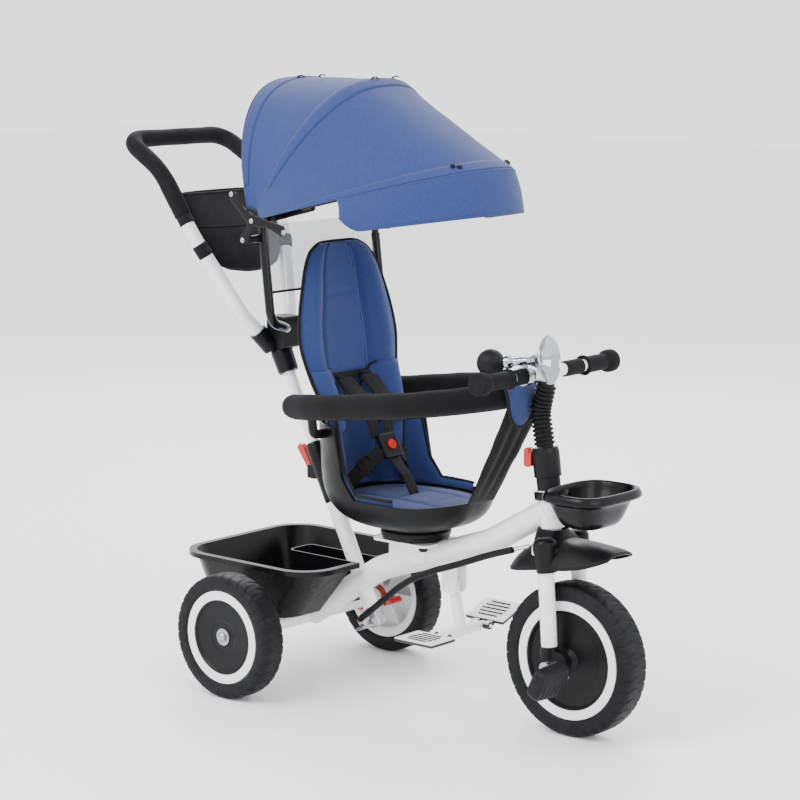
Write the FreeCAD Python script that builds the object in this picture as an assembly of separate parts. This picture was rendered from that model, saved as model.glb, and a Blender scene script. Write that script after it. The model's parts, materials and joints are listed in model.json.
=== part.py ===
import FreeCAD, Part
import math
import os

# Child's push tricycle with a swivel seat, canopy and steering push bar.
# Millimetres.  X forward, Y to the rider's left, Z up, ground at Z = 0.
# Everything is drawn with X measured from the rear axle; the export moves it
# so that the origin is the middle of the footprint on the ground.

V = FreeCAD.Vector
UP = V(0, 0, 1)
FORWARD = V(1, 0, 0)
LEFT = V(0, 1, 0)
SIDES = (("left", 1), ("right", -1))

# ---------------------------------------------------------------- driving sizes
CLEAR = 0.3                 # gap kept between pieces of different bodies
RUN = 0.06                  # radial running clearance of a shaft in its hole

WHEELBASE = 591.0
REAR_WHEEL_R = 110.0
REAR_TYRE_WIDTH = 51.0
REAR_TRACK_HALF = 215.0
REAR_RIM_R = 80.0
FRONT_WHEEL_R = 130.0
FRONT_TYRE_WIDTH = 55.0
FRONT_RIM_R = 98.0
RIM_BAND = 13.5             # radial width of the white band round a wheel
AXLE_R = 5.0
CRANK_SHAFT_R = 6.0
CRANK_LENGTH = 38.0
PEDAL_LENGTH = 74.0
PEDAL_TILTS = {"left": 65.0, "right": 65.0}    # rest angle of each pedal about its pin

MAIN_TUBE_R = 22.0
MAIN_TUBE_WALL = 2.0
AXLE_TUBE_R = 15.0
AXLE_TUBE_Z = REAR_WHEEL_R
HEAD_TILT = 0.1334          # rearward lean of the steering axis per unit of height
HEAD_X0 = 587.0             # where the steering axis meets the ground
HEAD_TUBE_R = 20.0
STEERER_R = 15.0
HEAD_BOTTOM_Z = 345.0
HEAD_TOP_Z = 408.0

POST_TILT = 0.49            # rearward lean of the push post per unit of height
POST_X0 = 211.0
POST_R = 14.25
COLUMN_R = 12.7
STEM_R = 11.0
POST_BOTTOM_Z = 143.0
POST_TOP_Z = 323.0
COLLAR_TOP_Z = 424.0
YOKE_BOTTOM_Z = 546.0
YOKE_TOP_Z = 612.0

HANDLE_HALF_WIDTH = 122.0
HANDLE_Z = 957.0
HANDLE_X = -340.0
HANDLE_TUBE_R = 12.5
HANDLE_FOAM_R = 15.5

FORK_HALF_WIDTH = 45.0
FORK_LEG_R = 13.5
FENDER_GAP = 56.0           # height of the mudguard over the tyre
BAR_HALF_LENGTH = 186.0
BAR_X = 524.0
BAR_Z = 604.0
BAR_R = 10.5

SEAT_X = 244.0              # swivel axis
SWIVEL_R = 62.0
SWIVEL_TOP_Z = 305.0
SEAT_TOP_Z = 792.0
GUARD_HALF_WIDTH = 166.0
GUARD_FRONT_X = 468.0
GUARD_R = 22.0

HOOD_X = 30.0               # hinge line of the canopy hoops
HOOD_Z = 835.0
HOOD_SKIN = 2.5
HOOP_R = 2.5
HOOP_GAP = 0.5
CANOPY_LEG_Y = 146.0
CANOPY_TUBE_R = 8.0
CANOPY_LEG_R = 6.5

BASKET_RIM_Z = 228.0
BASKET_FLOOR_Z = REAR_WHEEL_R + AXLE_TUBE_R + CLEAR
BASKET_WALL = 3.0

HANDLE_REACH = HANDLE_X - HANDLE_FOAM_R
NOSE_REACH = WHEELBASE + FRONT_WHEEL_R
MID_X = (HANDLE_REACH + NOSE_REACH) / 2


# ---------------------------------------------------------------- shape helpers
def unit(v):
    return V(v).normalize()


def steering_point(z):
    return V(HEAD_X0 - HEAD_TILT * z, 0, z)


def post_point(z):
    return V(POST_X0 - POST_TILT * z, 0, z)


def rod(start, end, radius):
    return Part.makeCylinder(radius, (end - start).Length, start, end - start)


def sleeve(start, end, outer, inner):
    return rod(start, end, outer).cut(rod(start, end, inner))


def smooth_route(points, bends):
    """Straight runs joined by tangent arcs, one bend radius per inner point."""
    edges = []
    here = points[0]
    for i in range(1, len(points) - 1):
        corner = points[i]
        into = unit(corner - points[i - 1])
        out = unit(points[i + 1] - corner)
        turn = into.getAngle(out)
        setback = bends[i - 1] * math.tan(turn / 2)
        start = corner - into * setback
        end = corner + out * setback
        inward = unit(out - into)
        middle = corner + inward * (bends[i - 1] / math.cos(turn / 2) - bends[i - 1])
        if (start - here).Length > 0.01:
            edges.append(Part.LineSegment(here, start).toShape())
        edges.append(Part.Arc(start, middle, end).toShape())
        here = end
    edges.append(Part.LineSegment(here, points[-1]).toShape())
    return Part.Wire(edges)


def bar(points, radius, bends):
    if len(points) == 2:
        return rod(points[0], points[1], radius)
    if isinstance(bends, (int, float)):
        bends = [bends] * (len(points) - 2)
    ring = Part.Wire(Part.makeCircle(radius, points[0], points[1] - points[0]))
    return smooth_route(points, bends).makePipeShell([ring], True, False)


def pipe(points, outer, inner, bends):
    return bar(points, outer, bends).cut(bar(points, inner, bends))


def turned(profile, origin, direction):
    """Solid of revolution from (radius, height) pairs, its height along direction."""
    corners = [V(radius, 0, height) for radius, height in profile]
    face = Part.Face(Part.makePolygon(corners + corners[:1]))
    solid = face.revolve(V(0, 0, 0), UP, 360)
    solid.Placement = FreeCAD.Placement(origin, FreeCAD.Rotation(UP, direction))
    return solid


def slab(low, high, round_edges=0.0, axis=None):
    size = high - low
    box = Part.makeBox(size.x, size.y, size.z, low)
    if not round_edges:
        return box
    edges = box.Edges
    if axis is not None:
        edges = [e for e in edges if abs(unit(e.tangentAt(e.FirstParameter)).dot(axis)) > 0.99]
    return box.makeFillet(round_edges, edges)


def outline(points, height=None):
    return Part.makePolygon(points + points[:1])


def round_plan(x_low, x_high, half_width, corner, z):
    """Flat rounded rectangle in plan at height z."""
    corner = min(corner, half_width - 1, (x_high - x_low) / 2 - 1)
    face = slab(V(x_low, -half_width, z), V(x_high, half_width, z + 1), corner, UP)
    lowest = min(face.Faces, key=lambda f: f.CenterOfMass.z)
    return lowest.OuterWire


def lofted(wires, ruled=False):
    return Part.makeLoft(wires, True, ruled)


def prism_y(points, half_depth):
    """Side outline of (x, z) pairs, extruded across the middle plane."""
    corners = [V(x, -half_depth, z) for x, z in points]
    return Part.Face(outline(corners)).extrude(V(0, 2 * half_depth, 0))


def ribbon(points, width, thickness, across):
    """Flat webbing along points; across is the direction of its width."""
    solids = None
    for start, end in zip(points, points[1:]):
        along = end - start
        face_dir = unit(along.cross(across))
        a = across * (width / 2)
        n = face_dir * (thickness / 2)
        corners = [start - a - n, start + a - n, start + a + n, start - a + n]
        piece = Part.Face(outline(corners)).extrude(along)
        solids = piece if solids is None else solids.fuse(piece)
    return solids


def fused(shapes):
    whole = shapes[0]
    for shape in shapes[1:]:
        whole = whole.fuse(shape)
    return whole.removeSplitter()


def mirrored(shape):
    return shape.mirror(V(0, 0, 0), LEFT)


PIECES = {}


def keep(name, shape):
    PIECES[name] = shape


# ---------------------------------------------------------------- frame
MAIN_ROUTE = [
    steering_point(376),
    V(412, 0, 302),
    V(165, 0, 219),
    V(0, 0, AXLE_TUBE_Z),
]
MAIN_BENDS = [140, 180]
AXLE_TUBE_HALF = REAR_TRACK_HALF - REAR_TYRE_WIDTH / 2 - 4
FOOTREST_PIVOT = V(330, 0, 216)
FOOTREST_TUBE_R = 10.0
EAR_GAP = FOOTREST_TUBE_R + 1.0
EAR_THICK = 4.0


def footrest_ears():
    ears = []
    for _, side in SIDES:
        y_inner = side * EAR_GAP
        y_outer = side * (EAR_GAP + EAR_THICK)
        low = V(FOOTREST_PIVOT.x - 16, min(y_inner, y_outer), FOOTREST_PIVOT.z - 16)
        high = V(FOOTREST_PIVOT.x + 16, max(y_inner, y_outer), FOOTREST_PIVOT.z + 60)
        ears.append(slab(low, high, 10, LEFT))
    return ears


# saddle plates welded on the main tube, carrying the seat swivel
SADDLE_Z = SWIVEL_TOP_Z - 24
SADDLE_PLATE = 4.0
SADDLE_BOLTS = [(SEAT_X + dx, dy) for dx in (-48, 48) for dy in (-38, 38)]
SPINDLE_R = 6.2


def saddle_plates():
    plate = slab(V(SEAT_X - 62, -50, SADDLE_Z), V(SEAT_X + 62, 50, SADDLE_Z + SADDLE_PLATE), 14, UP)
    cheeks = []
    for _, side in SIDES:
        inner = side * MAIN_TUBE_R * 0.4
        outer = side * (MAIN_TUBE_R + 3.5)
        cheeks.append(slab(V(SEAT_X - 40, min(inner, outer), SADDLE_Z - 34),
                           V(SEAT_X + 40, max(inner, outer), SADDLE_Z)))
    bore = rod(V(SEAT_X, 0, SADDLE_Z - 40), V(SEAT_X, 0, SADDLE_Z + 10), SPINDLE_R)
    return fused([plate] + cheeks).cut(bore)


def make_swivel_base():
    low = SADDLE_Z + SADDLE_PLATE
    high = SWIVEL_TOP_Z - 13 - CLEAR
    ring_r = SWIVEL_R - 3
    base = turned([(SPINDLE_R, low), (ring_r - 7, low), (ring_r, low + 2.5), (ring_r, high), (SPINDLE_R, high)],
                  V(SEAT_X, 0, 0), UP)
    base = base.cut(bar(MAIN_ROUTE, MAIN_TUBE_R, MAIN_BENDS))
    heads = []
    for x, y in SADDLE_BOLTS:
        spot = V(x, y, SADDLE_Z)
        heads.append(turned([(0, 0), (8, 0), (8, 5), (6, 8), (0, 8)], spot, -UP))
    keep("swivel_base", Part.makeCompound([base] + heads))


def make_frame():
    main_solid = bar(MAIN_ROUTE, MAIN_TUBE_R, MAIN_BENDS)
    main_bore = bar(MAIN_ROUTE, MAIN_TUBE_R - MAIN_TUBE_WALL, MAIN_BENDS)
    head_low = steering_point(HEAD_BOTTOM_Z)
    head_high = steering_point(HEAD_TOP_Z)
    post_low = post_point(POST_BOTTOM_Z)
    post_high = post_point(POST_TOP_Z)
    axle_left = V(0, AXLE_TUBE_HALF, AXLE_TUBE_Z)
    axle_right = V(0, -AXLE_TUBE_HALF, AXLE_TUBE_Z)
    head = sleeve(head_low, head_high, HEAD_TUBE_R, STEERER_R + RUN)
    post = sleeve(post_low, post_high, POST_R, COLUMN_R + CLEAR)
    axle = sleeve(axle_left, axle_right, AXLE_TUBE_R, AXLE_R)
    ears = fused(footrest_ears()).cut(main_solid)
    pin = rod(FOOTREST_PIVOT - LEFT * 18, FOOTREST_PIVOT + LEFT * 18, 3)
    main = main_solid.cut(main_bore)
    for solid in (rod(head_low, head_high, HEAD_TUBE_R), rod(post_low, post_high, POST_R),
                  rod(axle_left, axle_right, AXLE_TUBE_R)):
        main = main.cut(solid)
    behind = slab(V(-60, -40, 0), V(-0.01, 40, 300))
    main = main.cut(behind)
    saddle = saddle_plates().cut(main_solid)
    keep("main_frame", fused([main, head, post, axle, ears, pin, saddle]))


# ---------------------------------------------------------------- rear axle and wheels
def make_axle():
    shaft_end = REAR_TRACK_HALF + 17
    shaft = rod(V(0, -shaft_end, AXLE_TUBE_Z), V(0, shaft_end, AXLE_TUBE_Z), AXLE_R)
    nuts = []
    for _, side in SIDES:
        seat = V(0, side * (REAR_TRACK_HALF + 16.5), AXLE_TUBE_Z)
        profile = [(AXLE_R, 0), (15, 0), (15, 1.5), (8, 1.8), (8, 5.5), (5, 8), (0.01, 8.6), (0.01, 0.6),
                   (AXLE_R, 0.6)]
        nuts.append(turned(profile, seat, LEFT * side))
    keep("rear_axle", Part.makeCompound([shaft] + nuts))


def tyre(radius, width, rim_r, centre):
    half = width / 2
    bead = half - 3.0
    shoulder = radius - 9.0
    tread = [(rim_r, -bead), (rim_r + 5, -half), (shoulder - 6, -half), (radius - 3.5, -half + 6),
             (radius, -half + 13), (radius, half - 13), (radius - 3.5, half - 6),
             (shoulder - 6, half), (rim_r + 5, half), (rim_r, bead)]
    return turned(tread, centre, LEFT)


def rear_wheel(name, side):
    centre = V(0, side * REAR_TRACK_HALF, REAR_WHEEL_R)
    out = LEFT * side
    seat_r = REAR_RIM_R + 2
    inner_r = REAR_RIM_R - RIM_BAND
    keep("rear_tyre_" + name, tyre(REAR_WHEEL_R, REAR_TYRE_WIDTH, seat_r, centre))
    rim_profile = [(AXLE_R + RUN, -24), (14, -24), (14, 8), (inner_r, 8), (inner_r, -18), (inner_r + 5, -22),
                   (seat_r, -22), (seat_r, 22), (inner_r, 22), (inner_r, 12), (AXLE_R + RUN, 12)]
    rim = turned(rim_profile, centre, out)
    ribs = []
    for i in range(6):
        rib = slab(V(13, -2, -14), V(inner_r + 1, 2, 9))
        rib.rotate(V(0, 0, 0), UP, 60 * i)
        rib.Placement = FreeCAD.Placement(centre, FreeCAD.Rotation(UP, out)).multiply(rib.Placement)
        ribs.append(rib)
    keep("rear_rim_" + name, fused([rim] + ribs))
    disc_profile = [(AXLE_R + RUN, 12.2), (inner_r - 0.2, 12.2), (inner_r - 0.2, 20.5), (inner_r - 3, 20.5),
                    (inner_r - 6, 18), (30, 17), (26, 16), (AXLE_R + RUN, 16)]
    keep("rear_disc_" + name, turned(disc_profile, centre, out))


# ---------------------------------------------------------------- rear basket
def make_rear_basket():
    notch_half = MAIN_TUBE_R + 6
    outer = lofted([round_plan(-152, 42, 122, 45, BASKET_FLOOR_Z),
                    round_plan(-182, 128, 153, 60, BASKET_RIM_Z)], True)
    inner = lofted([round_plan(-152 + BASKET_WALL, 42 - BASKET_WALL, 122 - BASKET_WALL, 43,
                               BASKET_FLOOR_Z + BASKET_WALL),
                    round_plan(-182 + BASKET_WALL, 128 - BASKET_WALL, 153 - BASKET_WALL, 58,
                               BASKET_RIM_Z + 0.01)], True)
    notch = slab(V(-30, -notch_half, BASKET_FLOOR_Z - 20), V(190, notch_half, BASKET_RIM_Z + 20), 12, UP)
    wall = BASKET_WALL
    notch_wall = slab(V(-30 - wall, -notch_half - wall, BASKET_FLOOR_Z),
                      V(190, notch_half + wall, BASKET_RIM_Z), 14, UP)
    lip_outer = slab(V(-192, -163, BASKET_RIM_Z - 9), V(138, 163, BASKET_RIM_Z), 68, UP)
    lip_inner = slab(V(-179, -150, BASKET_RIM_Z - 20), V(125, 150, BASKET_RIM_Z + 20), 56, UP)
    lip_hollow = slab(V(-189, -160, BASKET_RIM_Z - 20), V(135, 160, BASKET_RIM_Z - 3), 65, UP)
    lip = lip_outer.cut(lip_inner).cut(lip_hollow.cut(outer))
    tub = outer.cut(inner)
    tub = tub.fuse(notch_wall.common(outer)).cut(notch)
    tub = tub.fuse(lip).cut(notch)
    axle_clear = rod(V(0, -200, AXLE_TUBE_Z), V(0, 200, AXLE_TUBE_Z), AXLE_TUBE_R)
    keep("rear_basket", tub.cut(axle_clear).removeSplitter())


# ---------------------------------------------------------------- front basket
def make_front_basket():
    floor_z = 358.0
    rim_z = 421.0
    wall = 2.5
    outer = lofted([round_plan(580, 650, 50, 32, floor_z), round_plan(562, 674, 74, 52, rim_z)], True)
    inner = lofted([round_plan(580 + wall, 650 - wall, 50 - wall, 30, floor_z + wall),
                    round_plan(562 + wall, 674 - wall, 74 - wall, 50, rim_z + 0.01)], True)
    skirt_outer = lofted([round_plan(557, 686, 85, 60, rim_z - 17), round_plan(559, 681, 81, 57, rim_z)], True)
    skirt_inner = lofted([round_plan(559, 684, 83, 58, rim_z - 17.01), round_plan(562, 677, 77, 53, rim_z - 3)],
                         True)
    skirt = skirt_outer.cut(skirt_inner.cut(outer)).cut(inner)
    ring_low = steering_point(HEAD_TOP_Z - 12)
    ring_high = steering_point(HEAD_TOP_Z)
    collar = sleeve(ring_low, ring_high, HEAD_TUBE_R + 5, HEAD_TUBE_R)
    arm = slab(V(steering_point(400).x + HEAD_TUBE_R + 2, -14, 393), V(566, 14, 404))
    arm = arm.cut(rod(steering_point(380), steering_point(420), HEAD_TUBE_R + 0.5)).cut(inner)
    keep("front_basket", fused([outer.cut(inner), skirt, arm, collar]))


# ---------------------------------------------------------------- steering column, fork and mudguard
def fork_leg_points(side):
    y = side * FORK_HALF_WIDTH
    return [V(559, y, 318), V(571, y, 150)]


CROWN_Z = 312.0
STEERING_HEAD_TOP = 478.0


def make_fork():
    steerer_low = steering_point(CROWN_Z - 10)
    steerer_high = steering_point(STEERING_HEAD_TOP - 3)
    steerer = sleeve(steerer_low, steerer_high, STEERER_R, STEERER_R - 3)
    crown = slab(V(532, -FORK_HALF_WIDTH, CROWN_Z - 8), V(572, FORK_HALF_WIDTH, CROWN_Z + 8), 3, LEFT)
    legs = []
    for _, side in SIDES:
        top, foot = fork_leg_points(side)
        legs.append(rod(top, foot, FORK_LEG_R))
    crown = crown.cut(rod(steerer_low, steerer_high, STEERER_R - 3))
    keep("fork", fused([crown, steerer] + legs))
    ends = []
    for _, side in SIDES:
        _, foot = fork_leg_points(side)
        y = side * FORK_HALF_WIDTH
        cap = rod(foot + V(-0.4, 0, 6), foot + V(1.0, 0, -14), FORK_LEG_R + 2.5)
        cheek = slab(V(560, y - 7, 112), V(610, y + 7, 150), 16, LEFT)
        end = cap.fuse(cheek).cut(rod(fork_leg_points(side)[0], foot, FORK_LEG_R))
        shaft_hole = rod(V(WHEELBASE, -80, FRONT_WHEEL_R), V(WHEELBASE, 80, FRONT_WHEEL_R), CRANK_SHAFT_R + RUN)
        ends.append(end.cut(shaft_hole).removeSplitter())
    keep("fork_ends", Part.makeCompound(ends))


def arch_section(angle, radius, half_width, drop, skin):
    """Closed arch across the wheel at one angle round its centre."""
    centre = V(WHEELBASE, 0, FRONT_WHEEL_R)
    out = V(math.cos(angle), 0, math.sin(angle))
    crest = centre + out * radius
    low = centre + out * (radius - drop)
    outer = Part.Arc(low - LEFT * half_width, crest, low + LEFT * half_width).toShape()
    inner_crest = crest - out * skin
    inner = Part.Arc(low + LEFT * (half_width - skin), inner_crest,
                     low - LEFT * (half_width - skin)).toShape()
    join_a = Part.LineSegment(low + LEFT * half_width, low + LEFT * (half_width - skin)).toShape()
    join_b = Part.LineSegment(low - LEFT * (half_width - skin), low - LEFT * half_width).toShape()
    return Part.Wire([outer, join_a, inner, join_b])


COVER_REAR_X = 522.0
COVER_HALF = FORK_HALF_WIDTH + 19


def cover_block():
    return slab(V(COVER_REAR_X, -COVER_HALF, 290), V(590, COVER_HALF, 336), 12)


def make_fender():
    guard_r = FRONT_WHEEL_R + FENDER_GAP
    sections = []
    for degrees, half_width, drop in ((72, 26, 6), (82, 44, 12), (98, 56, 18), (116, 50, 16), (136, 30, 8)):
        sections.append(arch_section(math.radians(degrees), guard_r + 8, half_width, drop, 3))
    guard = lofted(sections)
    hollow = slab(V(COVER_REAR_X + 5, -COVER_HALF + 4, 280), V(585, COVER_HALF - 4, 331), 9)
    cover = cover_block().cut(hollow)
    neck = sleeve(steering_point(330), steering_point(HEAD_BOTTOM_Z - CLEAR), HEAD_TUBE_R - 2, STEERER_R)
    neck_hole = rod(steering_point(280), steering_point(360), STEERER_R)
    body = fused([guard.cut(hollow), cover, neck]).cut(neck_hole)
    for _, side in SIDES:
        top, foot = fork_leg_points(side)
        body = body.cut(rod(top, foot, FORK_LEG_R))
    keep("fender", body.removeSplitter())


def make_steering_head():
    low = steering_point(HEAD_TOP_Z + CLEAR)
    step = steering_point(429)
    high = steering_point(STEERING_HEAD_TOP)
    axis = unit(high - low)
    rise = (step - low).Length
    top = (high - low).Length
    collar = turned([(STEERER_R, 0), (20, 0), (20, rise), (23, rise + 1), (23, top - 8), (21, top), (11.2, top),
                     (11.2, top - 2.5), (STEERER_R, top - 2.5)], low, axis)
    keep("steering_collar", collar)


STEM_ROUTE = [steering_point(474), V(512, 0, 538), V(BAR_X, 0, 584), V(BAR_X, 0, BAR_Z)]
STEM_BENDS = [60, 40]


def make_handlebar():
    cross_bar = rod(V(BAR_X, -BAR_HALF_LENGTH + 4, BAR_Z), V(BAR_X, BAR_HALF_LENGTH - 4, BAR_Z), BAR_R)
    stem = bar(STEM_ROUTE, 11, STEM_BENDS)
    keep("handlebar", fused([cross_bar, stem]))
    bellows_route = smooth_route(STEM_ROUTE[:3] + [V(BAR_X, 0, 588)], STEM_BENDS)
    folds = 13
    rings = [bar(STEM_ROUTE[:3] + [V(BAR_X, 0, 590)], 14, STEM_BENDS)]
    marks = bellows_route.discretize(Number=folds + 4)
    for before, after in zip(marks[1:-2], marks[2:-1]):
        middle = (before + after) * 0.5
        along = unit(after - before)
        rings.append(turned([(0, -2.6), (15.5, -2.6), (17.5, -1.2), (17.5, 1.2), (15.5, 2.6), (0, 2.6)],
                            middle, along))
    sheath = fused(rings).cut(stem)
    lower = slab(V(400, -40, 400), V(600, 40, 479))
    upper = rod(V(BAR_X, -40, BAR_Z), V(BAR_X, 40, BAR_Z), BAR_R + 4)
    collar_clear = rod(steering_point(STEERING_HEAD_TOP - 40), steering_point(STEERING_HEAD_TOP + 0.2), 40)
    keep("bellows", sheath.cut(lower).cut(upper).cut(collar_clear))


GRIP_START = 100.0
FOAM_SPAN = (44.0, 92.0)


def make_grips():
    grips = []
    foams = []
    length = BAR_HALF_LENGTH - GRIP_START
    for _, side in SIDES:
        start = V(BAR_X, side * GRIP_START, BAR_Z)
        profile = [(BAR_R, 0), (18, 0), (18, 4), (13.5, 6)]
        for i in range(7):
            at = 10 + 6 * i
            profile += [(13.5, at), (14.6, at + 1), (14.6, at + 3), (13.5, at + 4)]
        profile += [(13.5, length - 26), (17, length - 24), (19.5, length - 18), (19.5, length - 3),
                    (16, length), (0.01, length), (0.01, length - 4), (BAR_R, length - 4)]
        grips.append(turned(profile, start, LEFT * side))
        near, far = FOAM_SPAN
        foams.append(sleeve(V(BAR_X, side * near, BAR_Z), V(BAR_X, side * far, BAR_Z), BAR_R + 3, BAR_R))
    keep("hand_grips", Part.makeCompound(grips))
    keep("bar_foam", Part.makeCompound(foams))


# ---------------------------------------------------------------- horn
HORN_BULB = V(462, -70, 621)
HORN_MOUTH = V(567, -50, 634)
HORN_AXIS = unit(HORN_MOUTH - HORN_BULB)
HORN_LENGTH = (HORN_MOUTH - HORN_BULB).Length
BULB_R = 23.5
BELL_R = 40.0


def make_horn():
    lip = HORN_LENGTH
    bell_profile = [(7, 58), (7, 70), (9, 78), (14, 88), (24, 97), (BELL_R - 2, lip - 2), (BELL_R, lip),
                    (BELL_R - 1.5, lip + 1.5), (BELL_R - 4, lip - 0.4), (23, 99), (12.5, 90), (7.5, 79), (5, 70),
                    (5, 58)]
    bell = turned(bell_profile, HORN_BULB, HORN_AXIS)
    neck = turned([(0.01, 26.2), (9, 26.2), (11, 29), (11, 36), (8, 40), (6.5, 44), (6.5, 52), (7.5, 54),
                   (7.5, 58), (0.01, 58)], HORN_BULB, HORN_AXIS)
    ball = Part.makeSphere(BULB_R, HORN_BULB)
    mouth = turned([(0, 10), (9, 10), (9, 26), (0, 26)], HORN_BULB, HORN_AXIS)
    strap_y = HORN_BULB.y + (BAR_X - HORN_BULB.x) * HORN_AXIS.y / HORN_AXIS.x
    strap = sleeve(V(BAR_X, strap_y - 7, BAR_Z), V(BAR_X, strap_y + 7, BAR_Z), BAR_R + 5, BAR_R + 3)
    axis_z = HORN_BULB.z + (BAR_X - HORN_BULB.x) * HORN_AXIS.z / HORN_AXIS.x
    post = rod(V(BAR_X, strap_y, BAR_Z + BAR_R + 3.5), V(BAR_X, strap_y, axis_z - 5.5), 5).cut(bell).cut(neck)
    keep("horn_bell", bell)
    clamp = max(strap.fuse(post).removeSplitter().Solids, key=lambda solid: solid.Volume)
    keep("horn_neck", Part.makeCompound([neck, clamp]))
    keep("horn_bulb", ball.fuse(mouth).removeSplitter())


RELEASE_SWING = 18          # degrees


def make_release_lever():
    centre = steering_point(461) - FORWARD * 22
    body = slab(V(centre.x - 13, -16, centre.z - 17), V(centre.x + 2, -5, centre.z + 15), 5, LEFT)
    pivot = centre + V(-6, 0, 10)
    boss = rod(pivot - LEFT * 18, pivot - LEFT * 4, 5)
    lever = body.fuse(boss)
    for turn in range(0, RELEASE_SWING + 1, 3):
        shell = rod(steering_point(400), steering_point(490), 23 + CLEAR)
        shell.rotate(pivot, LEFT, -turn)
        lever = lever.cut(shell)
    keep("release_lever", lever.removeSplitter())


# ---------------------------------------------------------------- front wheel, crank and pedals
CRANK_ARM_Y = 78.0
CRANK_ANGLE = math.radians(-12)
PEDAL_CLEAR = 0.3


def crank_tip(side):
    """Pin centre: the right pedal points forward, the left one backward."""
    reach = CRANK_LENGTH * -side
    return V(WHEELBASE + reach * math.cos(CRANK_ANGLE), 0, FRONT_WHEEL_R + reach * math.sin(CRANK_ANGLE))


def make_front_wheel():
    centre = V(WHEELBASE, 0, FRONT_WHEEL_R)
    seat_r = FRONT_RIM_R + 2
    inner_r = FRONT_RIM_R - RIM_BAND
    keep("front_tyre", tyre(FRONT_WHEEL_R, FRONT_TYRE_WIDTH, seat_r, centre))
    band = turned([(inner_r, -24), (seat_r, -24), (seat_r, 24), (inner_r, 24)], centre, LEFT)
    keep("front_rim", band)
    half = [(CRANK_SHAFT_R, 26.5), (12, 26.5), (15, 24), (20, 19.5), (60, 15), (inner_r - 6, 17), (inner_r - 3, 22),
            (inner_r - 0.2, 22)]
    profile = half + [(radius, -height) for radius, height in reversed(half)]
    keep("front_disc", turned(profile, centre, LEFT))
    arm_y = CRANK_ARM_Y
    parts = [rod(V(WHEELBASE, -arm_y - 8, FRONT_WHEEL_R), V(WHEELBASE, arm_y + 8, FRONT_WHEEL_R), CRANK_SHAFT_R)]
    for _, side in SIDES:
        tip = crank_tip(side)
        y_low = min(side * arm_y, side * (arm_y + 8))
        hub = rod(V(WHEELBASE, y_low, FRONT_WHEEL_R), V(WHEELBASE, y_low + 8, FRONT_WHEEL_R), 10)
        eye = rod(V(tip.x, y_low, tip.z), V(tip.x, y_low + 8, tip.z), 8)
        length = CRANK_LENGTH
        web = Part.makeBox(length, 8, 12, V(0, y_low, -6))
        turn = math.degrees(math.atan2(tip.z - FRONT_WHEEL_R, tip.x - WHEELBASE))
        web.rotate(V(0, 0, 0), LEFT, -turn)
        web.translate(centre)
        pin = rod(V(tip.x, side * (arm_y + 6), tip.z), V(tip.x, side * (arm_y + 8 + PEDAL_LENGTH - 8), tip.z), 4.5)
        parts += [hub, eye, web, pin]
    keep("crank", fused(parts))
    for name, side in SIDES:
        tip = crank_tip(side)
        y_a = side * (arm_y + 8 + PEDAL_CLEAR)
        y_b = side * (arm_y + 8 + PEDAL_LENGTH)
        low = V(tip.x - 31, min(y_a, y_b), tip.z - 15)
        high = V(tip.x + 31, max(y_a, y_b), tip.z + 15)
        block = slab(low, high, 11, LEFT)
        grooves = []
        for i in range(5):
            y = side * (arm_y + 20 + 12 * i)
            for face in (-1, 1):
                z = tip.z + face * 15
                grooves.append(slab(V(tip.x - 26, y - 2, z - 2), V(tip.x + 26, y + 2, z + 2)))
        bore = rod(V(tip.x, y_a - side, tip.z), V(tip.x, side * (arm_y + 8 + PEDAL_LENGTH - 7), tip.z), 4.5 + RUN)
        pedal = block.cut(Part.makeCompound(grooves)).cut(bore)
        pedal.rotate(tip, LEFT, -PEDAL_TILTS[name])
        keep("pedal_" + name, pedal)


# ---------------------------------------------------------------- push column and handle
ROD_Y = -38.0               # side offset of the steering rod
ARM_PLATE_LOW = 0.0
ARM_PLATE_TOP = 5.0
POST_AXIS = unit(post_point(200) - post_point(100))
LEVER_PIVOT_Z = 372.0
LEVER_REACH = 26.0


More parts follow.
